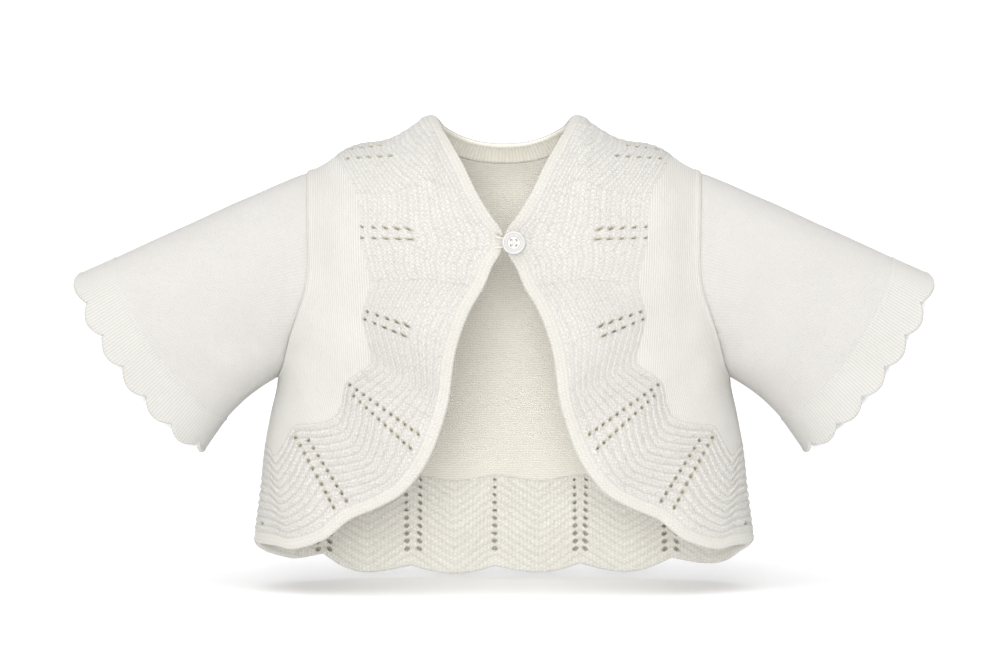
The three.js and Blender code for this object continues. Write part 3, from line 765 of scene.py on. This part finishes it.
def front_panel():
    rows, columns = CELLS["front"]
    lines = np.linspace(0, LAST_PANEL_LINE, rows + 1)
    line, share = np.meshgrid(lines, np.linspace(0, 1, columns + 1), indexing="ij")
    place = mix(outer_places(line), path_at(SEAM_PLACES, line), share[..., None])
    end = path_at(SEAM_PLACES, mix(LAST_LINE, LAST_PANEL_LINE, share[-1]))
    run = smooth(line / LAST_PANEL_LINE, 0.86, 1)[..., None]
    straight = mix(place[-1, :1], place[-1, -1:], share[-1][:, None])
    place = place + run * (end - straight)[None]
    form = on_body("front", place)
    lengths = grid_lengths(form[0])
    arm = np.where(line <= UNDERARM_LINE, lengths["left"], NO_ARMHOLE)
    folds = soft_folds(form[0], FRONT_FOLDS) + 0.25 * noise(form[0], 60, seed=3)
    outer = armhole_roll(arm) + folds
    inner = -folds
    return cloth("front_left_knit", form, PLAIN, outer, inner, knit_uv(place), [PLAIN_KNIT, PURL_KNIT])


def hem_path(column):
    """The hem band's seam and edge at columns, or the whole seam for no column."""
    x = np.array([row[1] for row in HEM], float)
    seam = place_at("back", x, np.array([row[2] for row in HEM], float))
    edge = place_at("back", x, np.array([row[3] for row in HEM], float))
    for places in (seam, edge):
        places[0, 0], places[-1, 0] = -SIDE, SIDE
    if column is None:
        return seam
    i = np.minimum(np.floor(column).astype(int), len(HEM) - 2)
    t = column - i
    kinds = np.array([row[0] for row in HEM])[i]
    eased = np.where(kinds == "eyelets", np.sin(t * SIDE), np.where(kinds == "dip", 1 - np.cos(t * SIDE), t))
    turn = mix(edge[i, 0], edge[i + 1, 0], t)
    fall = mix(edge[i, 1], edge[i + 1, 1], eased)
    return path_at(seam, column), np.stack([turn, fall], -1)


def hem_eyelets():
    """Two slanting columns of eyelets at a time, or one in the middle."""
    holes = []
    for middle, apart in HEM_EYELETS:
        for side in (-1, 1) if apart else (0,):
            for z in np.linspace(TOP_HOLE, LOW_HOLE, HEM_HOLES):
                down = (TOP_HOLE - z) / (TOP_HOLE - LOW_HOLE)
                size = mix(1.5, 2.3, down)
                holes.append((middle + side * (apart - 0.6 * down), z, size, 0.7 * size, 32 * side))
    return holes


def hem_band():
    wide, tall = CELLS["hem_back"]
    columns, length = even_lines(0, len(HEM) - 1, wide, lambda t: on_body("back", hem_path(t)[1])[0])
    part, column = np.meshgrid(np.linspace(0, 1, tall + 1), columns, indexing="ij")
    top, low = hem_path(columns)
    place = mix(top[None], low[None], part[..., None])
    form = on_body("back", place)
    points = form[0]
    lengths = grid_lengths(points)
    across = np.linspace(0, length, len(columns))[None, :] * np.ones(part.shape)
    zigzag = HEM_ZIGZAG * peak_at(HEM, column)
    ridge = (lengths["top"] + zigzag) / HEM_RIDGE + 0.5 * uneven(points, seed=51)
    calm = smooth(lengths["top"], 0.6, 1.6) * smooth(lengths["bottom"], 1.2, 3.4)
    calm = calm * smooth(edge_depth(lengths, ["left", "right"]), 0, 1)
    stitch = across / HEM_STITCH + uneven(points, seed=61)
    knit, crest = ridged(ridge, 0.4)
    # Deeper painted shade in the valleys of the hem's ridges
    crest = 1 - (1 - crest) * HEM_MARK
    rim = 0.45 * bump_at(lengths["bottom"], 1.8, 1.0) * (1 - calm)
    sink = rounded(lengths["bottom"], LACE)
    holes = hem_eyelets()
    lips = hole_lips(points, holes, 0.25)
    wave = 0.5 * noise(points, 46, seed=8)
    seam_roll = 0.4 * bump_at(lengths["top"], 0.9, 0.7)
    outer = knit * calm + rim - sink + lips + wave
    inner = knit * calm + rim - sink + lips - wave + seam_roll
    # Painted shade round the hem's eyelets
    crest = mix(SEAM_CREST, crest, calm) - EYELET_SHADE * hole_shade(points, holes)
    uv = np.stack([stitch, ridge * HEM_RIDGE / HEM_STITCH], -1)
    skins = [LACE_KNIT, LACE_INSIDE]
    return cloth("hem_back_knit", form, LACE, outer, inner, uv, skins, holes, crests=(crest, crest), far=1)


def neck_paths():
    """The neck band's top and seam as places, from the left shoulder to the right one."""
    half = np.array(NECK, float)
    full = np.vstack([half, half[-2::-1]])
    hand = np.where(np.arange(len(full)) < len(half) - 1, -1, 1)
    paths = []
    for wide, fall in ((0, 1), (2, 3)):
        share = full[:, wide] / read(BODY, "drop", drop_of("back", full[:, fall]), "wide")
        paths.append(np.stack([hand * solve(oval_wide, share, 0, SIDE), full[:, fall]], -1))
    return paths


NECK_TOP, NECK_SEAM = neck_paths()


def neck_band():
    last = len(NECK_TOP) - 1
    wide, tall = CELLS["neck_band"]
    lines, length = even_lines(0, last, wide, lambda t: on_body("back", path_at(NECK_SEAM, t))[0])
    part = np.linspace(0, 1, tall + 1)[:, None] * np.ones(wide + 1)
    place = mix(path_at(NECK_TOP, lines)[None], path_at(NECK_SEAM, lines)[None], part[..., None])
    form = on_body("back", place)
    lengths = grid_lengths(form[0])
    across = np.linspace(0, length, len(lines))[None, :] * np.ones(part.shape)
    rib = across / NECK_RIB + 0.3 * uneven(form[0], seed=71)
    knit, crest = ridged(rib, 0.3)
    calm = smooth(lengths["top"], 1.2, 2.6) * smooth(lengths["bottom"], 0, 0.8)
    sink = rounded(lengths["top"], PLAIN)
    roll = 0.35 * bump_at(lengths["top"], 1.3, 0.9)
    outer = knit * calm + roll - sink
    inner = 0.5 * knit * calm + roll - sink - 0.5 * bump_at(lengths["bottom"], 0, 0.7)
    uv = np.stack([rib, lengths["top"] / STITCH], -1)
    crest = mix(SEAM_CREST, crest, calm)
    skins = [RIB_KNIT, RIB_INSIDE]
    return cloth("neck_band_knit", form, PLAIN, outer, inner, uv, skins, crests=(crest, crest))


def back_top(share):
    """The back's top side: a shoulder, the neck and the other shoulder."""
    columns, neck_columns = 28, 20
    shoulder = (columns - neck_columns) / 2
    column = share * columns
    from_left = np.minimum(column, columns - column)
    neck = path_at(NECK_SEAM, np.clip((column - shoulder) / neck_columns, 0, 1) * (len(NECK_SEAM) - 1))
    turn = mix(armhole_places("back", 0.0)[0], NECK_SEAM[0, 0], from_left / shoulder)
    flat = np.stack([np.where(share > 0.5, -turn, turn), np.zeros(share.shape)], -1)
    return np.where((from_left > shoulder)[:, None], neck, flat)


def back_side(share):
    """The back's left side from the hem up: the side seam, then the armhole."""
    below, beside = 4, 15
    row = share * (below + beside)
    z = mix(HEM[0][2], UNDERARM, np.clip(row / below, 0, 1))
    low = place_at("back", np.full(row.shape, -1.0), z)
    low[:, 0] = -SIDE
    arm = armhole_places("back", np.clip((beside + below - row) / beside, 0, 1))
    return np.where((row <= below)[:, None], low, arm)


def back_panel():
    wide, tall = CELLS["back"]
    u = np.linspace(0, 1, wide + 1)
    v = np.linspace(0, 1, tall + 1)
    low = path_at(hem_path(None), u * (len(HEM) - 1))
    top = back_top(u)
    left = back_side(v)
    bulge = left - mix(left[:1], left[-1:], v[:, None])
    to_side = 1 - 2 * u
    fade = np.stack([to_side, to_side**2], -1)
    place = mix(low[None], top[None], v[:, None, None]) + bulge[:, None] * fade[None]
    place[..., 1] = np.maximum(place[..., 1], 0)
    form = on_body("back", place)
    lengths = grid_lengths(form[0])
    side_seam = np.abs(place[..., 0]) > SIDE - 0.02
    arm = edge_depth(lengths, ["left", "right"]) + NO_ARMHOLE * side_seam
    folds = soft_folds(form[0], BACK_FOLDS) + 0.4 * noise(form[0], 80, seed=5)
    outer = armhole_roll(arm) + folds
    inner = -folds
    return cloth("back_knit", form, PLAIN, outer, inner, knit_uv(place), [PLAIN_KNIT, PURL_KNIT])


# Sleeves

def even_angles(tall, deep, share):
    """Angles at shares of the way round an oval ring, and its girth."""
    fine = np.linspace(0, 2 * math.pi, 721)
    ring = np.stack([tall * oval_deep(fine), deep * oval_wide(fine)], -1)
    length = np.concatenate([[0], np.linalg.norm(np.diff(ring, axis=0), axis=1).cumsum()])
    return np.interp(share * length[-1], length, fine), length[-1]


def ring_points(ring, share):
    top_x, top_z, low_x, low_z, deep, bow = SLEEVE[ring]
    if ring == 0:
        front = on_body("front", armhole_places("front", np.clip(share * 2, 0, 1)))[0]
        back = on_body("back", armhole_places("back", np.clip((1 - share) * 2, 0, 1)))[0]
        return np.where((share <= 0.5)[:, None], front, back)
    top, low = np.array([-top_x, 0, top_z]), np.array([-low_x, 0, low_z])
    half = (top - low) / 2
    outward = unit(np.array([half[2], 0, -half[0]]))
    outward = outward * -np.sign(outward[0])
    angle = even_angles(np.linalg.norm(half), deep, share)[0]
    points = (top + low) / 2 + half * oval_deep(angle)[:, None]
    points = points + outward * (bow * np.abs(np.sin(angle)) ** BOW_FULLNESS)[:, None]
    points[:, 1] = -deep * oval_wide(angle)
    return points


def sleeve_form(rings, shares, rise=0):
    """Points and outward normals of the sleeve's form, with rise added along it towards the hand."""
    curves = np.stack([ring_points(k, shares) for k in range(EDGE_RING + 1)])
    points = flow(curves, rings)
    points = points + rise * unit(curves[EDGE_RING] - curves[CUFF_RING])[None]
    out = np.gradient(points, axis=0)
    wrapped = np.concatenate([points[:, -2:-1], points, points[:, 1:2]], axis=1)
    around = wrapped[:, 2:] - wrapped[:, :-2]
    return points, unit(np.cross(out, around))


def sleeve():
    wide, tall = CELLS["sleeve"]
    shares = np.linspace(0, 1, wide + 1)
    rings = np.linspace(0, CUFF_RING, tall + 1)
    form = sleeve_form(rings, shares)
    lengths = grid_lengths(form[0])
    folds = soft_folds(form[0], SLEEVE_FOLDS) * smooth(lengths["top"], 0, 8)
    folds = folds + 0.5 * noise(form[0], 60, seed=11)
    outer = folds * smooth(lengths["top"], 0, 5) - 0.45 * bump_at(lengths["top"], 0, 2.6)
    outer = outer * smooth(lengths["bottom"], 0, 3)
    girth = lengths["right"][-1, 0]
    around = np.broadcast_to(shares * girth, lengths["top"].shape)
    uv = np.stack([around / WALE, lengths["top"] / COURSE], -1)
    return cloth("sleeve_left_knit", form, PLAIN, outer, -outer, uv, [SLEEVE_KNIT, PURL_KNIT], closed=True)


def cuff():
    ribs = LOBES * RIBS_IN_A_LOBE
    wide, tall = CELLS["cuff"]
    shares = np.linspace(0, 1, wide + 1)
    top_x, top_z, low_x, low_z, deep, _ = SLEEVE[EDGE_RING]
    girth = even_angles(math.hypot(top_x - low_x, top_z - low_z) / 2, deep, np.array([1.0]))[1]
    behind, ahead = TOP_LOBE
    below = 1 + LOBES * (0.5 - ahead / girth)
    at_fold = -behind / (ahead - behind)
    turns = (at_fold, 1, below, LOBES, LOBES + at_fold)
    turn = np.interp(shares * girth, (0, ahead, girth / 2, girth + behind, girth), turns)
    lobe = np.abs(np.sin(math.pi * turn)) ** LOBE_ROUNDNESS
    t = np.linspace(0, 1, tall + 1)
    rise = (t[:, None] * LOBE_RISE * lobe[None])[..., None]
    form = sleeve_form(mix(CUFF_RING, EDGE_RING, t), shares, rise)
    lengths = grid_lengths(form[0])
    rib_count = ribs * shares[None] * np.ones(lengths["top"].shape)
    rib, crest = ridged(rib_count, RIB_HEIGHT)
    calm = smooth(lengths["top"], 0, 1.0) * smooth(lengths["bottom"], 0.8, 2.4)
    from_cusp = np.abs(turn - np.round(turn))[None] * girth / LOBES
    notch = 0.4 * bump_at(from_cusp, 0, 1.3) * smooth(7 - lengths["bottom"], 0, 7)
    sink = rounded(lengths["bottom"], PLAIN)
    roll = 0.4 * bump_at(lengths["bottom"], 1.2, 0.8)
    seam = 0.3 * bump_at(lengths["top"], 1.2, 0.8)
    outer = rib * calm + roll + seam - notch - sink
    inner = 0.6 * rib * calm + roll - 0.5 * notch - sink
    uv = np.stack([rib_count, lengths["top"] / STITCH + uneven(form[0], seed=81)], -1)
    crest = mix(SEAM_CREST, crest, calm)
    skins = [RIB_KNIT, CUFF_INSIDE]
    return cloth("cuff_left_knit", form, PLAIN, outer, inner, uv, skins, closed=True, crests=(crest, crest))


# Materials

# Painted shade: the colour painted in and round eyelets, and a darker one round the hem's eyelets seen from
# inside
EYELET_PAINTED_SHADE = "#BFBAA8"
HEM_EYELET_PAINTED_SHADE = "#9C9785"
# How high the yarn stands at a place in the knit, worked out step by step: result, operation and inputs
STITCHES = {
    "stockinette": [
        ("across", "PINGPONG", "wale", 0.5),
        ("leg", "MULTIPLY_ADD", "across", 1.5, "course"),
        ("loose_leg", "MULTIPLY_ADD", "stray", 1.6, "leg"),
        ("strand", "PINGPONG", "loose_leg", 0.5),
        ("strand_height", "MULTIPLY_ADD", "strand", "beads", "between_beads"),
        ("column", "POWER", "across", "groove"),
        ("height", "MULTIPLY", "column", "strand_height"),
    ],
    "purl": [
        ("bow", "PINGPONG", "wale", 0.5),
        ("bowed_row", "MULTIPLY_ADD", "bow", 1.0, "course"),
        ("loose_row", "MULTIPLY_ADD", "stray", 1.2, "bowed_row"),
        ("ridge", "PINGPONG", "loose_row", 0.5),
        ("height", "MULTIPLY", "ridge", 1.8),
    ],
}
# What the yarn's height, its fibres and its soft unevenness do to the bumps and to the tone; height and crest
# paint shade between stitches and in dips
SURFACE = [
    ("bumpy", "MULTIPLY_ADD", "fibre", 0.4, "height"),
    ("stitch_painted_shade", "MULTIPLY_ADD", "height", 0.6, 0.3),
    ("stitch_and_dip_painted_shade", "MULTIPLY", "stitch_painted_shade", "crest"),
    ("cloud_tone", "MULTIPLY_ADD", "cloud", 0.15, "stitch_and_dip_painted_shade"),
    ("tone", "MULTIPLY_ADD", "fibre", 0.15, "cloud_tone"),
]


def colour(code):
    """A linear colour from its sRGB hex code."""
    parts = [int(code[k:k + 2], 16) / 255 for k in (1, 3, 5)]
    return [p / 12.92 if p <= 0.04045 else ((p + 0.055) / 1.055) ** 2.4 for p in parts] + [1]


def add_node(tree, kind, inputs, **settings):
    """Adds a shader node with its settings, and sets or links its inputs."""
    made = tree.nodes.new("ShaderNode" + kind)
    for name, value in settings.items():
        setattr(made, name, value)
    for name, value in inputs.items():
        if isinstance(value, bpy.types.NodeSocket):
            tree.links.new(value, made.inputs[name])
        else:
            made.inputs[name].default_value = value
    return made


def new_material(name):
    material = bpy.data.materials.new(name)
    material.use_nodes = True
    material.node_tree.nodes.clear()
    return material, material.node_tree


def knit_material(name, base, shade, strength, kind="stockinette", groove=0.22, beads=1.5, dip=EYELET_PAINTED_SHADE):
    """Matt ivory cotton yarn, with painted shade: the dips between its stitches and round eyelets are painted
    warmer and darker than its crests.

    A higher groove parts the columns of stitches more, and higher beads part the stitches of a column more.
    """
    material, tree = new_material(name)
    knit = add_node(tree, "UVMap", {}, uv_map="UVMap").outputs["UV"]
    place = add_node(tree, "TexCoord", {}).outputs["Object"]
    counts = add_node(tree, "SeparateXYZ", {0: knit}).outputs
    values = {"wale": counts[0], "course": counts[1], "groove": groove, "beads": beads}
    values["between_beads"] = 1 - beads / 2
    values["crest"] = add_node(tree, "Attribute", {}, attribute_name="crest").outputs["Fac"]
    for cloud, scale in (("fibre", 1500), ("stray", 330), ("cloud", 45)):
        values[cloud] = add_node(tree, "TexNoise", {"Vector": place, "Scale": scale, "Detail": 2}).outputs[0]
    for result, operation, *inputs in STITCHES[kind] + SURFACE:
        inputs = {k: values[value] if value in values else value for k, value in enumerate(inputs)}
        values[result] = add_node(tree, "Math", inputs, operation=operation).outputs[0]
    # The tone ramp paints shade: the eyelet colour in holes, the shade colour in the dips, the base on the
    # crests
    tone = add_node(tree, "ValToRGB", {"Fac": values["tone"]})
    ramp = tone.color_ramp.elements
    ramp[0].position, ramp[0].color = 0.0, colour(dip)
    ramp[1].position, ramp[1].color = 0.95, colour(base)
    ramp.new(0.38).color = colour(shade)
    bump = add_node(tree, "Bump", {"Height": values["bumpy"], "Strength": strength, "Distance": 0.0005})
    shader = add_node(tree, "BsdfPrincipled", {
        "Base Color": tone.outputs[0],
        "Normal": bump.outputs[0],
        "Roughness": 0.92,
        "Specular IOR Level": 0.25,
        "Sheen Weight": 0.2,
        "Sheen Roughness": 0.5,
    })
    add_node(tree, "OutputMaterial", {"Surface": shader.outputs[0]})
    return material


def plain_material(name, base, roughness, bump_size=0.0, glow=0.0):
    """One colour, with fine bumps and a glow where they are asked for."""
    material, tree = new_material(name)
    inputs = {"Base Color": colour(base), "Roughness": roughness}
    if bump_size:
        place = add_node(tree, "TexCoord", {}).outputs["Object"]
        cloud = add_node(tree, "TexNoise", {"Vector": place, "Scale": 900, "Detail": 2}).outputs[0]
        bump = add_node(tree, "Bump", {"Height": cloud, "Strength": 0.3, "Distance": bump_size})
        inputs["Normal"] = bump.outputs[0]
    if glow:
        inputs["Emission Color"] = colour("#FFFFFF")
        inputs["Emission Strength"] = glow
    shader = add_node(tree, "BsdfPrincipled", inputs)
    add_node(tree, "OutputMaterial", {"Surface": shader.outputs[0]})
    return material


# Stitches of the ribs and the plain panels, parted more than in the lace
PANEL_STITCH = {"groove": 0.6, "beads": 0.8}
RIB_STITCH = {"groove": 0.6, "beads": 0.6}

# The plain fronts and back: fine V stitches in upright wales
PLAIN_KNIT = knit_material("ivory_cotton_stockinette", "#DCDAD6", "#B3B0A9", 0.8, **PANEL_STITCH)
# The sleeves: the same, pressed smoother
SLEEVE_KNIT = knit_material("ivory_cotton_fine_stockinette", "#CBC9C6", "#B5B2AD", 0.6)
# The purl side, seen inside: fine rows, painted paler and warmer than the outside as painted light soaking
# through
PURL_KNIT = knit_material("ivory_cotton_purl_side_painted_light", "#EAE7DE", "#D2CEC2", 0.5, kind="purl")
# The lace's ridges of plump stitches
LACE_KNIT = knit_material("ivory_cotton_lace", "#D1CFCB", "#B3B0A9", 1.0)
# The lace's inside, as the back hem shows it: painted paler than the lace's outside as painted light, with a
# darker painted shade round its eyelets
LACE_INSIDE = knit_material(
    "ivory_cotton_lace_inside_painted_light", "#F2F0EA", "#CBC8BE", 1.0, dip=HEM_EYELET_PAINTED_SHADE
)
# Ribs of the cuffs and the neck band
RIB_KNIT = knit_material("ivory_cotton_rib", "#CBCAC6", "#B5B3AD", 0.8, **RIB_STITCH)
# The same rib where it lines the neck, painted paler as painted light where it faces down into shade
RIB_INSIDE = knit_material("ivory_cotton_rib_inside_painted_light", "#F6F3EA", "#E3DFD2", 0.5, **RIB_STITCH)
# The same rib inside the cuffs, painted paler as painted light, because the camera sees only its shaded
# notches
CUFF_INSIDE = knit_material("ivory_cotton_cuff_inside_painted_light", "#F8F8F8", "#EEEEEE", 0.5, **RIB_STITCH)
# The smooth narrow edging
EDGING_KNIT = knit_material("ivory_cotton_edging", "#D0CEC9", "#B9B6AD", 0.7)
# The button: polish gives small highlights on its rim
PLASTIC = plain_material("polished_white_plastic", "#C3C2C0", 0.22, 0.00002)
# Thread of the loop and of the button's cross
THREAD = plain_material("ivory_cotton_thread", "#CFCCC4", 0.9, 0.0001)
# A white table with a little light from below, so that it meets the wall unseen
FLOOR = plain_material("lit_white_acrylic", "#F8F8F9", 0.95, glow=0.12)


# Button and loop

def grid_piece(name, points, material):
    """A surface on a grid of points in millimetres, sewn shut where its points meet."""
    rows, columns = points.shape[0] - 1, points.shape[1] - 1
    mesh, _ = grid_mesh(name, rows, columns, np.zeros((rows + 1, columns + 1, 2)))
    mesh.vertices.foreach_set("co", (points.reshape(-1, 3)[spots_of(mesh)] * MM).ravel())
    mesh.attributes.remove(mesh.attributes["spot"])
    with edited(mesh) as box:
        bmesh.ops.remove_doubles(box, verts=box.verts, dist=2e-6)
        bmesh.ops.recalc_face_normals(box, faces=box.faces)
    mesh.materials.append(material)
    mesh.polygons.foreach_set("use_smooth", np.ones(len(mesh.polygons), bool))
    mesh.update()
    return add_object(name, mesh)


def tube(name, path, radius, material):
    """A thread along points in millimetres."""
    path = np.array(path, float)
    line = flow(path, np.linspace(0, len(path) - 1, 12 * (len(path) - 1) + 1))
    along = unit(np.gradient(line, axis=0))
    side = unit(np.cross(along, np.array([0, 1.0, 0.001])))
    up = np.cross(side, along)
    angle = np.linspace(0, 2 * math.pi, 13)
    taper = np.ones(len(line))
    taper[[0, -1]] = 0.02
    ring = np.cos(angle)[None, :, None] * side[:, None] + np.sin(angle)[None, :, None] * up[:, None]
    points = line[:, None] + ring * (radius * taper)[:, None, None]
    return grid_piece(name, points, material)


def button_face():
    """Height of the cloth under the button's middle, as in the solids."""
    seat = on_body("front", place_at("front", BUTTON["x"], BUTTON["z"]))[0]
    return seat[1] - 0.6


def button():
    radius, thick, lift = BUTTON["radius"], BUTTON["thick"], BUTTON["lift"]
    face = lift + thick
    # How far in from the rim, and how high, up the back and then down from the rim into the dish
    back = [(radius, 0), (1.6, 0), (0.75, 0.12), (0.2, 0.45), (0, 0.95)]
    front = [
        (0.05, -0.75), (0.3, -0.25), (0.75, 0), (1.15, -0.1), (1.4, -0.62), (1.75, -0.7), (2.05, -0.35),
        (2.4, -0.42), (2.65, -1.05), (DISH_RIM, -DISH_DEPTH),
    ]
    profile = [(radius - away, lift + up) for away, up in back]
    profile += [(radius - away, face + up) for away, up in front]
    fine = np.linspace(0, len(profile) - 1, 4 * len(profile))
    radii, depth = (np.interp(fine, range(len(profile)), values) for values in zip(*profile))
    inside = np.linspace(radius - DISH_RIM, 0, 26)[1:]
    radii = np.concatenate([radii, inside])
    depth = np.concatenate([depth, np.full(len(inside), face - DISH_DEPTH)])
    angle = np.linspace(0, 2 * math.pi, 121)
    r, a = np.meshgrid(radii, angle, indexing="ij")
    height = np.broadcast_to(depth[:, None], r.shape).copy()
    x, z = r * np.cos(a), r * np.sin(a)
    for hx, hz in ((1, 1), (1, -1), (-1, 1), (-1, -1)):
        pit = smooth(HOLE_RADIUS - np.hypot(x - hx * HOLE_PLACE, z - hz * HOLE_PLACE), 0, 0.22)
        height = height - HOLE_DEPTH * pit * (height > lift + 1)
    points = np.stack([x + BUTTON["x"], button_face() - height, z + BUTTON["z"]], -1)
    return grid_piece("button_disc", points, PLASTIC)


def button_threads():
    """The two threads that cross between the button's holes."""
    face = button_face() - BUTTON["lift"] - BUTTON["thick"]
    pieces = []
    for number, rising in enumerate((-1, 1)):
        out = face + 0.55 - 0.25 * number
        path = []
        for t, deep in ((0, 1.5), (0.06, 0.55), (0.3, 0.05), (0.5, 0), (0.7, 0.05), (0.94, 0.55), (1, 1.5)):
            across = mix(-HOLE_PLACE, HOLE_PLACE, t)
            path.append((BUTTON["x"] + across, out + deep, BUTTON["z"] + rising * across))
        pieces.append(tube(f"button_thread_{number + 1}", path, 0.33, THREAD))
    return pieces


def shank_thread():
    """The thread that holds the button off the cloth."""
    face = button_face()
    path = [(BUTTON["x"], face + out, BUTTON["z"]) for out in (0.9, -0.8, -BUTTON["lift"] - 0.4)]
    return tube("button_shank", path, 0.9, THREAD)


def button_loop():
    y = button_face() - 1.2
    x, z = BUTTON["x"], BUTTON["z"]
    above = [(-4.6, y + 1.6, z + 3.4), (-3.0, y + 0.5, z + 2.6), (0.6, y, z + 2.1), (x, y, z + 1.9)]
    below = [(x, y, z - 1.9), (0.6, y, z - 2.1), (-3.0, y + 0.5, z - 2.2), (-4.4, y + 1.6, z - 2.6)]
    path = [*above, (x + 1.9, y, z), *below]
    return tube("button_loop_thread", path, 0.45, THREAD)


# Put together: the right pieces mirror the left ones, and are made before those are taken


def take(piece, node):
    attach(piece, "root")
    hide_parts(node)


def take_cloth(piece, kind, side):
    take(piece, kind + side)


pairs = {
    "front": (front_panel(), "plain_knit"),
    "border": (border(), "lace_knit"),
    "edging": (edging(), "edging_knit"),
    "sleeve": (sleeve(), "plain_knit"),
    "cuff": (cuff(), "rib_knit"),
}
for kind, (piece, slot) in pairs.items():
    right = mirrored(piece, kind + "_right_knit")
    take_cloth(piece, kind, "_left")
    take_cloth(right, kind, "_right")
take_cloth(back_panel(), "back", "")
take_cloth(hem_band(), "hem_back", "")
take_cloth(neck_band(), "neck_band", "")
take(button(), "button")
take(button_loop(), "button_loop")
for piece in [*button_threads(), shank_thread()]:
    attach(piece, "root")

# Stage, light and camera

floor_mesh = bpy.data.meshes.new("floor")
with edited(floor_mesh) as box:
    bmesh.ops.create_grid(box, x_segments=8, y_segments=8, size=6)
floor_mesh.materials.append(FLOOR)
floor = add_object("floor", floor_mesh)
floor.location = FLOOR_UNDER_HEM
floor.rotation_euler.x = math.radians(FLOOR_RISE)

world = bpy.data.worlds.new("studio")
bpy.context.scene.world = world
world.use_nodes = True
sky = world.node_tree
direction = add_node(sky, "TexCoord", {}).outputs["Generated"]
up = add_node(sky, "SeparateXYZ", {0: direction}).outputs[2]
height = add_node(sky, "Math", {0: up}, operation="ABSOLUTE").outputs[0]
walls = add_node(sky, "ValToRGB", {"Fac": height})
glow = walls.color_ramp.elements
glow[0].position, glow[0].color = 0.1, (1, 1, 1, 1)
glow[1].position, glow[1].color = 0.35, (CEILING, CEILING, CEILING, 1)
sky.links.new(walls.outputs[0], sky.nodes["Background"].inputs["Color"])


def soft_sun(name, azimuth, elevation, strength, spread):
    """Soft light from a direction: the azimuth counts from the front to the viewer's left."""
    light = bpy.data.lights.new(name, "SUN")
    light.energy = strength
    light.angle = math.radians(spread)
    lamp = add_object(name, light)
    lamp.rotation_euler = (math.radians(90 - elevation), 0, math.radians(-azimuth))


soft_sun("key", 4, 5, 1.75, 24)
soft_sun("top", 10, 68, 2.25, 80)
bpy.context.scene.view_settings.view_transform = "Standard"

camera = bpy.data.cameras.new("camera")
camera.sensor_width = SENSOR
camera.lens = SENSOR * FAR / SEEN
viewer = add_object("camera", camera)
viewer.location = (0, -FAR, EYE_HEIGHT)
viewer.rotation_euler = (math.pi / 2, 0, 0)
bpy.context.scene.camera = viewer
